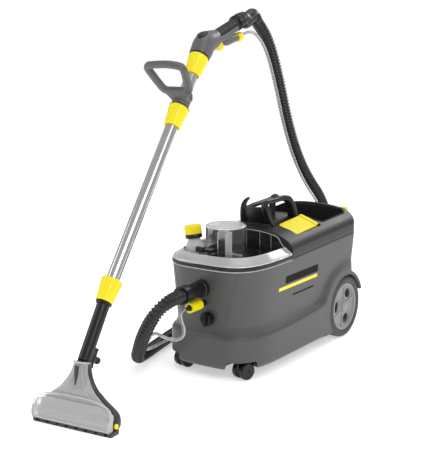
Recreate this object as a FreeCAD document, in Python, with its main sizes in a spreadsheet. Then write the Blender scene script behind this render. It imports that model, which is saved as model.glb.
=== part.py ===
import FreeCAD, Part
"""Commercial spray-extraction cleaner: wheeled machine, floor wand and the two hoses between them.

Machine frame: X to the machine's right, Y to its rear, Z up, floor at Z = 0.
Wand frame: X along the nozzle lip, Y towards the machine, Z up, origin on the floor at the lip.
Every sub-part is drawn in one of these two frames and its Placement carries it to the part's frame,
whose origin is the bottom centre of the box around the machine and the wand.
"""
import math
import os

import Sketcher

V = FreeCAD.Vector
X_AXIS = V(1, 0, 0)
Y_AXIS = V(0, 1, 0)
Z_AXIS = V(0, 0, 1)

DIMENSIONS = {
    # where the machine and the wand stand in the part's frame
    "machine_shift_x": 6.2, "machine_shift_y": 243.8, "lip_from_machine_x": -44.5,
    "lip_from_machine_y": -831.0, "wand_yaw": 4.2,
    # housing
    "half_width": 153.0, "nose_length": 222.0, "nose_power": 3.6, "side_start_y": -106.0, "rear_y": 322.0,
    "floor_gap": 33.0, "band_low": 45.0, "band_top": 118.0, "waist_height": 150.0, "rim_height": 316.0,
    "band_bulge": 3.0, "waist_inset": 11.0, "wall": 4.0, "seam_rise": 15.0, "corner_radius": 42.0,
    "rear_lean": 30.0,
    # wheels and castors
    "wheel_y": 243.0, "wheel_radius": 97.0, "wheel_width": 42.0, "hub_radius": 75.0,
    "wheel_outer_x": 154.0, "axle_radius": 8.0, "arch_radius": 103.0, "arch_wall": 4.0,
    "flange_radius": 115.0, "fender_end_z": 134.0,
    "hub_hole_radius": 13.0, "hub_hole_circle": 47.0,
    "castor_x": 101.0, "castor_y": -284.0, "castor_radius": 25.0, "castor_trail": 12.0,
    "castor_wheel_width": 17.0, "castor_gap": 9.0, "castor_pocket": 47.0, "castor_yaw": -14.0,
    "castor_pocket_roof": 66.0, "castor_stem_radius": 6.0,
    # top cover
    "cover_front_y": -88.0, "cover_edge_z": 352.0, "cover_deck_z": 384.0, "cover_deck_half": 92.0,
    "cover_rise": 17.0, "well_half": 118.0, "well_front_y": 132.0, "well_rear_y": 296.0,
    "well_floor_z": 262.0,
    # tank, dome and bottle
    "tank_inset": 13.0, "tank_floor_z": 196.0, "tank_rear_y": -92.0, "tank_wall": 3.0, "tank_back_z": 366.0,
    "lid_height": 341.0, "dome_x": -20.0, "dome_y": -176.0, "dome_radius": 58.0, "dome_top": 413.0,
    "bottle_x": -78.0, "bottle_y": -226.0, "bottle_radius": 31.0, "bottle_lean": -9.5,
    "bottle_floor": 262.0, "cap_radius": 23.0, "cap_height": 25.0,
    # hoses
    "hose_radius": 18.5, "spray_radius": 4.5, "port_z": 258.0, "port_tip_y": -425.0,
    "port_root_y": -317.5, "port_radius": 22.0,
    "socket_x": 3.0, "socket_z": 216.0, "drain_x": 17.0, "drain_z": 172.0, "gland_x": -70.0, "gland_z": 120.0,
    # wand
    "lip_width": 243.0, "tube_radius": 17.5, "tube_lean": 38.6, "tube_foot_y": 170.0, "tube_foot_z": 315.0,
    "middle_joint": 529.0, "upper_joint": 699.0, "nut_radius": 25.0, "nut_length": 62.0, "pipe_radius": 17.0,
    "pipe_foot_y": 62.0, "pipe_foot_z": 160.0,
    # clearances
    "running_gap": 0.05, "moving_gap": 0.5,
}

# Control points of the suction hose, machine frame, from the port in the nose to the swivel on the wand.
HOSE_ROUTE = [
    (0, -425, 258), (0, -476, 258), (-20, -515, 226), (-64, -509, 160), (-118, -462, 92),
    (-172, -402, 46), (-216, -320, 23), (-246, -215, 19.5), (-275, -90, 19.5), (-300, 50, 19.5),
    (-312, 195, 19.5), (-300, 330, 20), (-262, 455, 22), (-205, 560, 32), (-150, 625, 78),
    (-118, 640, 165), (-108, 606, 272), (-107, 545, 375), (-109, 452, 455), (-111, 378, 545),
    (-112, 318, 655), (-113, 268, 785), (-113, 212, 900), (-114, 160, 960), (-114, 122, 985),
]

# Control points of the clear spray hose that is clipped along the suction hose, machine frame.
SPRAY_ROUTE = [
    (3, -409.5, 216), (3, -434, 216), (20, -452, 198), (36, -456, 172), (26, -462, 148), (-6, -474, 146),
    (-45, -488, 166), (-85, -460, 128), (-128, -421, 90), (-172, -364, 58), (-202, -294, 40),
    (-227, -206, 32.5),
    (-251, -86, 19), (-274, 50, 10), (-286, 190, 6.5), (-276, 318, 6.5), (-241, 436, 10), (-187, 536, 26),
    (-138, 600, 84), (-112, 614, 166), (-104, 582, 262), (-105, 524, 358), (-107, 434, 436), (-109, 356, 532),
    (-110, 294, 646), (-111, 244, 776), (-111, 196, 872), (-110, 150, 926), (-111, 92, 955),
    (-108.4, 38.5, 939.8),
]

doc = FreeCAD.newDocument("spot_extractor")
sheet = doc.addObject("Spreadsheet::Sheet", "Dimensions")
for row, (alias, size) in enumerate(DIMENSIONS.items(), start=1):
    sheet.set(f"A{row}", alias)
    sheet.set(f"B{row}", str(size))
    sheet.setAlias(f"B{row}", alias)
doc.recompute()

nodes = []


def dim(alias):
    """Value of one driving dimension."""
    return float(sheet.get(alias))


MACHINE = FreeCAD.Placement(V(dim("machine_shift_x"), dim("machine_shift_y"), 0), FreeCAD.Rotation())
WAND = FreeCAD.Placement(
    V(dim("machine_shift_x") + dim("lip_from_machine_x"),
      dim("machine_shift_y") + dim("lip_from_machine_y"), 0),
    FreeCAD.Rotation(Z_AXIS, dim("wand_yaw")))


# ---------------------------------------------------------------- helpers

def turned(base, axis=Z_AXIS, to=None, angle=0.0):
    """Placement at base, turned so that Z points along `to`, or by an angle about an axis."""
    if to is not None:
        return FreeCAD.Placement(V(*base), FreeCAD.Rotation(Z_AXIS, V(*to)))
    return FreeCAD.Placement(V(*base), FreeCAD.Rotation(V(*axis), angle))


def keep(obj, label, frame=MACHINE):
    """Registers a finished object as the sub-part called label, in the part's frame."""
    obj.Label = label
    obj.Placement = frame.multiply(obj.Placement)
    nodes.append(obj)
    return obj


def keep_shape(shape, label, frame=MACHINE):
    """Makes a Part::Feature of a free-form shape and registers it."""
    obj = doc.addObject("Part::Feature", label)
    obj.Shape = shape
    obj.Placement = frame.multiply(obj.Placement)
    obj.Label = label
    nodes.append(obj)
    return obj


def primitive(kind, name, placement, **sizes):
    """A Part primitive whose sizes are numbers or spreadsheet expressions."""
    obj = doc.addObject(f"Part::{kind}", name)
    for prop, size in sizes.items():
        if isinstance(size, str):
            obj.setExpression(prop, size)
        else:
            setattr(obj, prop, size)
    obj.Placement = placement
    return obj


def cylinder(name, base, to, radius, height):
    return primitive("Cylinder", name, turned(base, to=to), Radius=radius, Height=height)


def box(name, corner, length, width, height, angle=0.0, axis=Z_AXIS):
    return primitive("Box", name, turned(corner, axis=axis, angle=angle), Length=length, Width=width,
                     Height=height)


def cut(name, base, *tools):
    """Base without the tools."""
    tool = tools[0]
    if len(tools) > 1:
        tool = doc.addObject("Part::MultiFuse", name + "_tools")
        tool.Shapes = list(tools)
    obj = doc.addObject("Part::Cut", name)
    obj.Base = base
    obj.Tool = tool
    return obj


def join(name, *pieces):
    obj = doc.addObject("Part::MultiFuse", name)
    obj.Shapes = list(pieces)
    obj.Refine = True
    return obj


def group(name, *pieces):
    """Several separate solids that share a node."""
    obj = doc.addObject("Part::Compound", name)
    obj.Links = list(pieces)
    return obj


def ring(name, base, to, outer, inner, height):
    """Plain tube: a cylinder with a coaxial bore."""
    return cut(name, cylinder(name + "_outer", base, to, outer, height),
               cylinder(name + "_bore", base, to, inner, height))


def sketch_outline(body, role, name, points):
    """Closed polygon on one of the body's origin planes, each corner held by sheet expressions."""
    plane = next(f for f in body.Origin.OriginFeatures if f.Role == role)
    sketch = body.newObject("Sketcher::SketchObject", name)
    sketch.AttachmentSupport = [(plane, "")]
    sketch.MapMode = "FlatFace"
    count = len(points)
    values = [tuple(number(part) for part in point) for point in points]
    for index in range(count):
        start = values[index]
        end = values[(index + 1) % count]
        sketch.addGeometry(Part.LineSegment(V(*start, 0), V(*end, 0)), False)
    for index in range(count):
        sketch.addConstraint(Sketcher.Constraint("Coincident", index, 2, (index + 1) % count, 1))
    for index, point in enumerate(points):
        for kind, part, value in zip(("DistanceX", "DistanceY"), point, values[index]):
            at = sketch.addConstraint(Sketcher.Constraint(kind, -1, 1, index, 1, value))
            if isinstance(part, str):
                sketch.setExpression(f"Constraints[{at}]", part)
    return sketch


def number(part):
    """Number behind a plain size or a sheet expression."""
    if isinstance(part, str):
        return float(eval_sheet(part))
    return float(part)


def eval_sheet(expression):
    """Value of a sheet expression, worked out by the sheet itself."""
    sheet.set("D1", "=" + expression.replace("Dimensions.", ""))
    doc.recompute()
    return sheet.get("D1")


def turned_body(label, points, base, to):
    """PartDesign body: a profile in its XZ plane, revolved about its Z axis."""
    body = doc.addObject("PartDesign::Body", label)
    sketch = sketch_outline(body, "XZ_Plane", label + "_profile", points)
    revolution = body.newObject("PartDesign::Revolution", label + "_turned")
    revolution.Profile = sketch
    revolution.ReferenceAxis = (sketch, ["V_Axis"])
    revolution.Angle = 360.0
    body.Tip = revolution
    body.Placement = turned(base, to=to)
    return body


# ---------------------------------------------------------------- bent tubes

def bend_radius(before, corner, after, share=0.45):
    """Radius of the arc that rounds a corner of a route, and the length it takes of each run."""
    run_in = corner - before
    run_out = after - corner
    half_turn = run_in.getAngle(run_out) / 2
    tangent = share * min(run_in.Length, run_out.Length)
    return tangent / math.tan(half_turn), tangent


def rounded_wire(route, share=0.45, closed=False):
    """Straight runs joined by tangent arcs."""
    points = [V(*point) for point in route]
    count = len(points)
    corners = range(count) if closed else range(1, count - 1)
    arcs = {}
    for index in corners:
        before = points[index - 1]
        corner = points[index]
        after = points[(index + 1) % count]
        radius, tangent = bend_radius(before, corner, after, share)
        start = corner + (before - corner).normalize() * tangent
        end = corner + (after - corner).normalize() * tangent
        inward = ((start + end) * 0.5 - corner).normalize()
        reach = math.hypot(radius, tangent) - radius
        arcs[index] = (start, corner + inward * reach, end)
    edges = []
    position = arcs[0][2] if closed else points[0]
    order = list(range(1, count)) + [0] if closed else list(range(1, count - 1))
    for index in order:
        start, middle, end = arcs[index]
        edges.append(Part.LineSegment(position, start).toShape())
        edges.append(Part.Arc(start, middle, end).toShape())
        position = end
    if not closed:
        edges.append(Part.LineSegment(position, points[-1]).toShape())
    return Part.Wire(edges)


def swept(wire, radius, inner=0.0):
    """Round tube along a wire, solid or with a bore."""
    start = wire.Edges[0].valueAt(wire.Edges[0].FirstParameter)
    direction = wire.Edges[0].tangentAt(wire.Edges[0].FirstParameter)
    section = Part.Wire(Part.makeCircle(radius, start, direction))
    solid = wire.makePipeShell([section], True, False)
    if inner:
        bore = Part.Wire(Part.makeCircle(inner, start, direction))
        solid = solid.cut(wire.makePipeShell([bore], True, False))
    return solid


def report_route(name, route, radius, solid, wire):
    """Prints the bend radii, the length and how well the volume agrees with section times length."""
    radii = []
    for before, corner, after in zip(route, route[1:], route[2:]):
        radii.append(round(bend_radius(V(*before), V(*corner), V(*after))[0]))
    volume = math.pi * radius ** 2 * wire.Length
    print(name, "length", round(wire.Length), "volume ratio", round(solid.Volume / volume, 4), "radii", radii)


# ---------------------------------------------------------------- housing

NOSE_STEPS = 14


def nose_curve(half, nose, side, height):
    """Superellipse from the machine's left side round the nose to its right side."""
    exponent = 2 / dim("nose_power")
    points = []
    for index in range(NOSE_STEPS + 1):
        turn = math.pi * index / NOSE_STEPS
        across = math.cos(turn)
        x = -half * math.copysign(abs(across) ** exponent, across)
        points.append(V(x, side - nose * abs(math.sin(turn)) ** exponent, height))
    points[0] = V(-half, side, height)
    points[-1] = V(half, side, height)
    curve = Part.BSplineCurve()
    curve.interpolate(Points=points, InitialTangent=V(0, -1, 0), FinalTangent=V(0, 1, 0))
    return curve.toShape()


def outline_wire(height, inset, rear_y):
    """Plan of the machine at one height: rounded nose, straight sides and rounded rear corners."""
    half = dim("half_width") - inset
    nose = dim("nose_length") - inset
    side = dim("side_start_y")
    corner = dim("corner_radius") - inset
    right = V(half, side, height)
    left = V(-half, side, height)
    rear_right = V(half, rear_y - corner, height)
    rear_left = V(-half, rear_y - corner, height)
    diagonal = corner * (1 - math.sqrt(0.5))
    edges = [
        nose_curve(half, nose, side, height),
        Part.LineSegment(right, rear_right).toShape(),
        Part.Arc(rear_right, V(half - diagonal, rear_y - diagonal, height),
                 V(half - corner, rear_y, height)).toShape(),
        Part.LineSegment(V(half - corner, rear_y, height), V(corner - half, rear_y, height)).toShape(),
        Part.Arc(V(corner - half, rear_y, height), V(diagonal - half, rear_y - diagonal, height),
                 rear_left).toShape(),
        Part.LineSegment(rear_left, left).toShape(),
    ]
    return Part.Wire(Part.__sortEdges__(edges))


def rear_at(height):
    """Rear wall's Y at a height: the wall leans in towards the floor."""
    share = (dim("rim_height") - height) / (dim("rim_height") - dim("floor_gap"))
    return dim("rear_y") - dim("rear_lean") * share


def housing_solid(extra=0.0, low=None, high=None):
    """Outer form of the lower housing, drawn in by `extra`."""
    low = dim("floor_gap") if low is None else low
    high = dim("rim_height") if high is None else high
    levels = [
        (low, 2.0), (dim("band_low"), -dim("band_bulge")), (dim("band_top"), -dim("band_bulge")),
        (dim("waist_height"), dim("waist_inset")), (high, 0.0),
    ]
    wires = [outline_wire(z, inset + extra, rear_at(z) - extra) for z, inset in levels]
    return Part.makeLoft(wires, True, True)


def seam_cutter(offset=0.0):
    """Everything above the slanted seam between housing and top cover."""
    front = dim("cover_front_y")
    rise = dim("seam_rise")
    rim = dim("rim_height") + offset
    points = [V(-200, front, rim), V(-200, 400, rim + rise), V(-200, 400, 520), V(-200, -400, 520),
              V(-200, -400, rim), V(-200, front, rim)]
    return Part.Face(Part.makePolygon(points)).extrude(V(400, 0, 0))


def arch_disc(radius, start_x, width, side):
    """Disc about a rear wheel's axis, from start_x outwards."""
    base = V(side * start_x, dim("wheel_y"), dim("wheel_radius"))
    return Part.makeCylinder(radius, width, base, V(side, 0, 0))


def above(height, top=700.0):
    return Part.makeBox(1000, 1400, top - height, V(-500, -700, height))


def make_lower_housing():
    """Grey shell with the lower band, wheel arches and port hole."""
    wall = dim("wall")
    rim = dim("rim_height")
    high = rim + dim("seam_rise") + 5
    outer = housing_solid(high=rim)
    upper = Part.makeLoft([outline_wire(rim, 0, dim("rear_y")), outline_wire(high, 0, dim("rear_y") + 1)],
                          True, True)
    inner = housing_solid(extra=wall, high=rim)
    inner_upper = Part.makeLoft([outline_wire(rim, wall, dim("rear_y") - wall),
                                 outline_wire(high, wall, dim("rear_y") + 1 - wall)], True, True)
    shell = outer.fuse(upper).cut(inner).cut(inner_upper)
    shell = shell.cut(seam_cutter())
    radius = dim("arch_radius")
    arch = radius + dim("arch_wall")
    depth = dim("wheel_width") + 8
    start = dim("wheel_outer_x") - depth
    for side in (-1, 1):
        shell = shell.cut(arch_disc(arch, start, depth + 20, side))
        tub = arch_disc(arch, start - dim("arch_wall"), dim("half_width") - start + dim("arch_wall"), side)
        tub = tub.cut(arch_disc(radius, start, depth + 20, side))
        flange = arch_disc(dim("flange_radius"), dim("half_width") - 9, 12, side)
        flange = flange.cut(arch_disc(radius, start, depth + 30, side))
        flange = flange.makeChamfer(5.0, [edge for edge in flange.Edges if is_outer_rim(edge)])
        fender = tub.fuse(flange).common(above(dim("floor_gap")))
        behind = Part.makeBox(400, 100, dim("fender_end_z"), V(-200, rear_at(dim("fender_end_z")), 0))
        shell = shell.fuse(fender.cut(behind))
        bore = dim("axle_radius") + 1
        shell = shell.cut(arch_disc(bore, start - 2 * wall, 3 * wall, side))
    for pocket in castor_pockets(dim("castor_pocket"), dim("castor_pocket_roof")):
        shell = shell.cut(pocket)
    fit = dim("running_gap")
    holes = [(0, NOSE_Y, dim("port_z"), dim("port_radius")), (dim("socket_x"), NOSE_Y, dim("socket_z"), 9.0),
             (dim("drain_x"), NOSE_Y, dim("drain_z"), 17.0), (dim("gland_x"), 295, dim("gland_z"), 10.0)]
    for x, y, z, radius in holes:
        shell = shell.cut(Part.makeCylinder(radius + fit, 60, V(x, y - 30, z), Y_AXIS))
    keep_shape(shell.removeSplitter(), "lower_housing")


def is_outer_rim(edge):
    """True for a wheel-arch flange's outer visible edge."""
    curve = edge.Curve
    if not isinstance(curve, Part.Circle):
        return False
    outside = abs(curve.Center.x) > dim("half_width")
    return outside and abs(curve.Radius - dim("flange_radius")) < 0.1


NOSE_Y = dim("side_start_y") - dim("nose_length")


def castor_pockets(radius, height):
    """Upright discs over both castors."""
    discs = []
    for side in (-1, 1):
        base = V(side * dim("castor_x"), dim("castor_y"), 0)
        discs.append(Part.makeCylinder(radius, height, base))
    return discs


def make_base_plate():
    """Closes the housing from below and carries the castor pockets and stem bosses."""
    gap = dim("floor_gap")
    inset = dim("wall") + 5.0
    plan = Part.Face(outline_wire(gap, inset, rear_at(gap) - inset))
    plate = plan.extrude(V(0, 0, 4))
    inside = plan.extrude(V(0, 0, 60))
    radius = dim("castor_pocket")
    start = dim("wheel_outer_x") - dim("wheel_width") - 8 - dim("arch_wall") - 0.5
    for cup in castor_pockets(radius, dim("castor_pocket_roof") + 4):
        plate = plate.fuse(cup.common(inside))
    for hollow in castor_pockets(radius - 3, dim("castor_pocket_roof")):
        plate = plate.cut(hollow)
    for side in (-1, 1):
        plate = plate.cut(arch_disc(dim("arch_radius") + 5, start, 90, side))
        foot = V(side * dim("castor_x"), dim("castor_y"), 0)
        boss = Part.makeCylinder(9.5, 24, foot + V(0, 0, dim("castor_pocket_roof")))
        stem = Part.makeCylinder(dim("castor_stem_radius") + dim("running_gap"), 90, foot)
        plate = plate.fuse(boss).cut(stem)
    keep_shape(plate.removeSplitter(), "base_plate")


# ---------------------------------------------------------------- top cover

def cover_form(drop=0.0, side_inset=0.0, front_y=None, rear_shift=0.0):
    """Domed section carried rearwards and upwards, trimmed to the machine's plan."""
    front = dim("cover_front_y") if front_y is None else front_y
    length = 420.0
    half = dim("half_width") - side_inset
    edge = dim("cover_edge_z") - drop
    deck = dim("cover_deck_z") - drop
    shoulder = dim("cover_deck_half")
    right = [(half, edge - 14), (half - 7, edge), (shoulder, deck - 2), (shoulder / 2, deck + 4)]
    points = [V(x, front, z) for x, z in right] + [V(0, front, deck + 6)]
    points += [V(-x, front, z) for x, z in reversed(right)]
    crown = Part.BSplineCurve()
    crown.interpolate(points)
    low = 228.0
    sides = Part.makePolygon([points[-1], V(-half, front, low), V(half, front, low), points[0]])
    face = Part.Face(Part.Wire([crown.toShape()] + sides.Edges))
    form = face.extrude(V(0, length, dim("cover_rise")))
    plan = Part.Face(outline_wire(240, side_inset, dim("rear_y") - rear_shift)).extrude(V(0, 0, 300))
    return form.common(plan)


def rounded_box(low, high, radius):
    """Box with rounded upright edges."""
    size = V(*high) - V(*low)
    solid = Part.makeBox(size.x, size.y, size.z, V(*low))
    upright = [edge for edge in solid.Edges if abs(edge.Vertexes[0].Z - edge.Vertexes[1].Z) > size.z / 2]
    return solid.makeFillet(radius, upright)


def make_top_cover():
    """Black cover: domed deck, rear storage well and the seats of the switches and handle."""
    wall = dim("wall")
    outer = cover_form().common(seam_cutter())
    inner = cover_form(wall, wall, dim("cover_front_y") + wall, wall)
    shell = outer.cut(inner)
    half = dim("well_half")
    front = dim("well_front_y")
    rear = dim("well_rear_y")
    floor = dim("well_floor_z")
    tub = rounded_box((-half - 3, front - 3, floor - 3), (half + 3, rear + 3, 470), 25).common(cover_form())
    hole = rounded_box((-half, front, floor), (half, rear, 470), 22)
    shell = shell.fuse(tub).cut(hole)
    for side in (-1, 1):
        shell = shell.cut(switch_block(side, 38.0, 70.5, -16.0, 60.0))
    shell = shell.cut(Part.makeBox(92, 168, 60, V(-46, -56, 378)))
    keep_shape(shell.removeSplitter(), "top_cover")


SWITCH_SLOPE = 20.0
SWITCH_AT = (88.0, 50.0, 376.0)


def switch_frame(side):
    """Placement of a switch: X runs outwards and down the cover's shoulder."""
    turn = FreeCAD.Rotation(Y_AXIS, SWITCH_SLOPE)
    if side < 0:
        turn = FreeCAD.Rotation(Z_AXIS, 180).multiply(turn)
    return FreeCAD.Placement(V(side * SWITCH_AT[0], SWITCH_AT[1], SWITCH_AT[2]), turn)


def switch_block(side, half_x, half_y, low, high):
    """Box in a switch's own tilted frame."""
    block = Part.makeBox(2 * half_x, 2 * half_y, high - low, V(-half_x, -half_y, low))
    block.Placement = switch_frame(side)
    return block


def make_switch_surrounds():
    """Two black surrounds set into the cover."""
    surrounds = []
    for side in (-1, 1):
        block = switch_block(side, 38.0, 70.5, -16.0, 3.0)
        surrounds.append(block.cut(switch_block(side, 34.0, 65.0, -12.0, 10.0)))
    keep_shape(Part.Compound(surrounds), "switch_surrounds")


def make_switch(side, name):
    """Yellow rocker in its surround, pressed down at the front."""
    pad = rounded_box((-33.0, -62.5, -2.0), (33.0, 62.5, 11.0), 8)
    ridge = Part.makeBox(66, 12, 5, V(-33, 50.5, 9))
    ridge = ridge.common(rounded_box((-33.0, -62.5, -2.0), (33.0, 62.5, 30), 8))
    pad = pad.fuse(ridge).removeSplitter()
    tilt = 5.0 if side > 0 else -5.0
    if side < 0:
        pad.Placement = FreeCAD.Placement(V(), FreeCAD.Rotation(Z_AXIS, 180))
    seat = switch_frame(side).multiply(FreeCAD.Placement(V(), FreeCAD.Rotation(X_AXIS, tilt)))
    pad.Placement = seat.multiply(pad.Placement)
    keep_shape(pad, name + "_rocker_switch")


def struts(points, radius):
    """Round bars from point to point, with a ball at every corner."""
    pieces = []
    for start, end in zip(points, points[1:]):
        way = V(*end) - V(*start)
        pieces.append(Part.makeCylinder(radius, way.Length, V(*start), way))
    for corner in points[1:-1]:
        pieces.append(Part.makeSphere(radius + 0.6, V(*corner)))
    return pieces


def make_carry_handle():
    """Plinth, two side frames with their rails, horn and knob, and the panel between the front posts."""
    radius = 8.0
    plinth = rounded_box((-45.9, -55.9, 378.1), (45.9, 111.9, 399), 10)
    panel = Part.makeBox(74, 6, 34, V(-37, -40, 397))
    right = struts([(37, -34, 390), (36, -58, 461), (38, 64, 460), (37, 98, 390)], radius)
    left = struts([(-37, -34, 390), (-40, -46, 436), (-38, 128, 449), (-37, 98, 390)], radius)
    horn = Part.makeCone(radius - 1, 3.5, 28, V(-40, -46, 434), V(0.05, -0.35, 1))
    knob = Part.makeSphere(12.5, V(-38, 128, 449))
    solid = plinth
    for piece in [panel] + right + left + [horn, knob]:
        solid = solid.fuse(piece)
    keep_shape(solid, "carry_handle")


# ---------------------------------------------------------------- rim seal, bulkhead and tank

def nose_plan(inset, height, thickness, rear_y):
    """Slab with the nose's plan, ending at rear_y."""
    slab = Part.Face(outline_wire(height, inset, dim("rear_y"))).extrude(V(0, 0, thickness))
    return slab.common(Part.makeBox(600, rear_y + 600, 800, V(-300, -600, 0)))


def make_rim_seal():
    rim = dim("rim_height")
    rear = dim("cover_front_y") - 0.5
    band = nose_plan(-2.0, rim, 6.0, rear).cut(nose_plan(5.0, rim - 1, 8.0, rear + 10))
    keep_shape(band, "rim_seal")


def make_tank_bay():
    """Tray that the waste tank stands on, with the bulkhead behind it."""
    wall = 3.0
    floor = dim("tank_floor_z") - 0.5 - wall
    top = dim("rim_height") - 1
    rear = dim("cover_front_y") + 3.5
    tray = nose_plan(17.0, floor, wall, rear)
    bulkhead = Part.makeBox(2 * 138, wall, top - floor, V(-138, rear - wall, floor))
    keep_shape(tray.fuse(bulkhead).removeSplitter(), "tank_bay")


def bottle_axis():
    lean = math.radians(dim("bottle_lean"))
    return V(math.sin(lean), 0, math.cos(lean))


def bottle_pocket(radius):
    start = V(dim("bottle_x"), dim("bottle_y"), dim("bottle_floor")) - bottle_axis() * 120
    return Part.makeCylinder(radius, 400, start, bottle_axis())


def make_waste_tank():
    """Clear tub with a flange that rests on the rim seal, and a recess for the detergent bottle."""
    inset = dim("tank_inset")
    wall = dim("tank_wall")
    floor = dim("tank_floor_z")
    top = dim("rim_height") + 6.5
    rear = dim("tank_rear_y")
    outer = nose_plan(inset, floor, top - floor, rear).cut(bottle_pocket(dim("bottle_radius") + 4))
    inner = nose_plan(inset + wall, floor + wall, top - floor + 9, rear - wall)
    inner = inner.cut(bottle_pocket(dim("bottle_radius") + 4 + wall))
    flange = nose_plan(-0.5, top, 3.0, rear).cut(nose_plan(inset + wall, top - 1, 6.0, rear - wall))
    flange = flange.cut(bottle_pocket(dim("bottle_radius") + 4))
    tub = outer.cut(inner).fuse(flange)
    inlet = Part.makeCylinder(dim("port_radius") - 4, 30, V(0, NOSE_Y, dim("port_z")), Y_AXIS)
    keep_shape(tub.cut(inlet).removeSplitter(), "waste_tank")


LID_BASE = dim("rim_height") + 9.5


def lid_form(inset):
    """Sloped skirt, flat top and the raised back of the lid."""
    top = dim("lid_height") - inset
    low = LID_BASE
    rear = dim("tank_rear_y") - inset
    wires = [outline_wire(low, inset, dim("rear_y")), outline_wire(top, inset + 6, dim("rear_y"))]
    skirt = Part.makeLoft(wires, True, True)
    back = [V(0, -150, top - 2), V(0, -118, dim("tank_back_z") - inset), V(0, 0, dim("tank_back_z") - inset),
            V(0, 0, top - 2), V(0, -150, top - 2)]
    ridge = Part.Face(Part.makePolygon(back)).extrude(V(150 - 2 * inset, 0, 0))
    ridge.translate(V(-35 + inset, 0, 0))
    form = skirt.fuse(ridge)
    return form.common(Part.makeBox(600, 600 + rear, 400, V(-300, -600, 100)))


def make_tank_lid():
    """Clear lid with the dome's cylinder standing on it, and the latch's hinge on its front."""
    wall = 2.5
    dome = V(dim("dome_x"), dim("dome_y"), 0)
    radius = dim("dome_radius")
    top = dim("dome_top") - 6
    outer = lid_form(0.0).fuse(Part.makeCylinder(radius, top - LID_BASE, dome + V(0, 0, LID_BASE)))
    inner = lid_form(wall).fuse(Part.makeCylinder(radius - wall, top, dome + V(0, 0, LID_BASE - 1)))
    pocket = dim("bottle_radius") + 4
    outer = outer.cut(bottle_pocket(pocket))
    inner = inner.cut(bottle_pocket(pocket + wall))
    below = nose_plan(wall + 2, LID_BASE - 1, 4.0, dim("tank_rear_y") - wall)
    below = below.cut(bottle_pocket(pocket + wall))
    stand = Part.makeBox(4, 12, 14, V(-60.5, -256, 341)).fuse(Part.makeBox(4, 12, 14, V(-5.5, -256, 341)))
    hinge = stand.fuse(Part.makeCylinder(2.0, 59, V(-60.5, -250, 350), X_AXIS))
    keep_shape(Part.Compound([outer.cut(inner).cut(below).removeSplitter(), hinge]), "tank_lid")


def make_dome_parts():
    """Milky cap of the dome, the float in its cage."""
    x = dim("dome_x")
    y = dim("dome_y")
    top = dim("dome_top")
    cap = turned_body("dome_cap", [
        (0, 0), ("Dimensions.dome_radius - 3", 0), ("Dimensions.dome_radius - 3", 1),
        ("Dimensions.dome_radius + 1", 1), ("Dimensions.dome_radius + 1", 4),
        ("Dimensions.dome_radius - 4", 7),
        (0, 7)], (x, y, top - 7), (0, 0, 1))
    keep(cap, "dome_cap")
    base = dim("lid_height") - 14
    plate = Part.makeBox(46, 3, 62, V(x - 24, y - 4, base))
    rails = [Part.makeBox(3, 22, 62, V(x + at, y - 25, base)) for at in (-13, 14)]
    bridge = Part.makeBox(112, 6, 4, V(x - 56, y - 4, base - 4)).common(
        Part.makeCylinder(dim("dome_radius") - 2.6, 30, V(x, y, base - 10)))
    keep_shape(plate.fuse(rails + [bridge]).removeSplitter(), "float_cage")
    body = box("float_block", (x - 9.5, y - 24, base + 0.3), 23, 19.5, 40)
    keep(body, "float_valve")


def make_bottle():
    """Detergent bottle leaning in its recess, its collar and its screw cap."""
    axis = tuple(bottle_axis())
    base = V(dim("bottle_x"), dim("bottle_y"), dim("bottle_floor"))
    bottle = turned_body("bottle_form", [
        (0, 0), ("Dimensions.bottle_radius", 0), ("Dimensions.bottle_radius", 80), (28, 94), (20, 108),
        (17, 112), (17, 138), (15, 138), (15, 111), (18.5, 106), (26, 92),
        ("Dimensions.bottle_radius - 2", 79),
        ("Dimensions.bottle_radius - 2", 2), (0, 2)], tuple(base), axis)
    collar = ring("neck_collar", tuple(base + bottle_axis() * 112.2), axis, 24.0, 17.05, 8.0)
    keep(group("bottle_and_collar", bottle, collar), "detergent_bottle")
    cap = turned_body("bottle_cap", [
        ("0", 139), (17.3, 139), (17.3, 121), ("Dimensions.cap_radius", 121), ("Dimensions.cap_radius", 144),
        ("Dimensions.cap_radius - 3", "121 + Dimensions.cap_height + 1"),
        (0, "121 + Dimensions.cap_height + 1")],
        tuple(base), axis)
    keep(cap, "bottle_cap")


def make_latch():
    """Lever that holds the lid down, in front of the dome."""
    lever = Part.makeBox(50, 22, 9, V(-56, -272, 345.5))
    grip = Part.makeBox(24, 12, 14, V(-56, -276, 341.5 + 4))
    barrel = Part.makeCylinder(5, 50, V(-56, -250, 350), X_AXIS)
    pin = Part.makeCylinder(2.05, 60, V(-60, -250, 350), X_AXIS)
    keep_shape(lever.fuse([grip, barrel]).cut(pin).removeSplitter(), "lid_latch")


# ---------------------------------------------------------------- fittings on the nose

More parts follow.
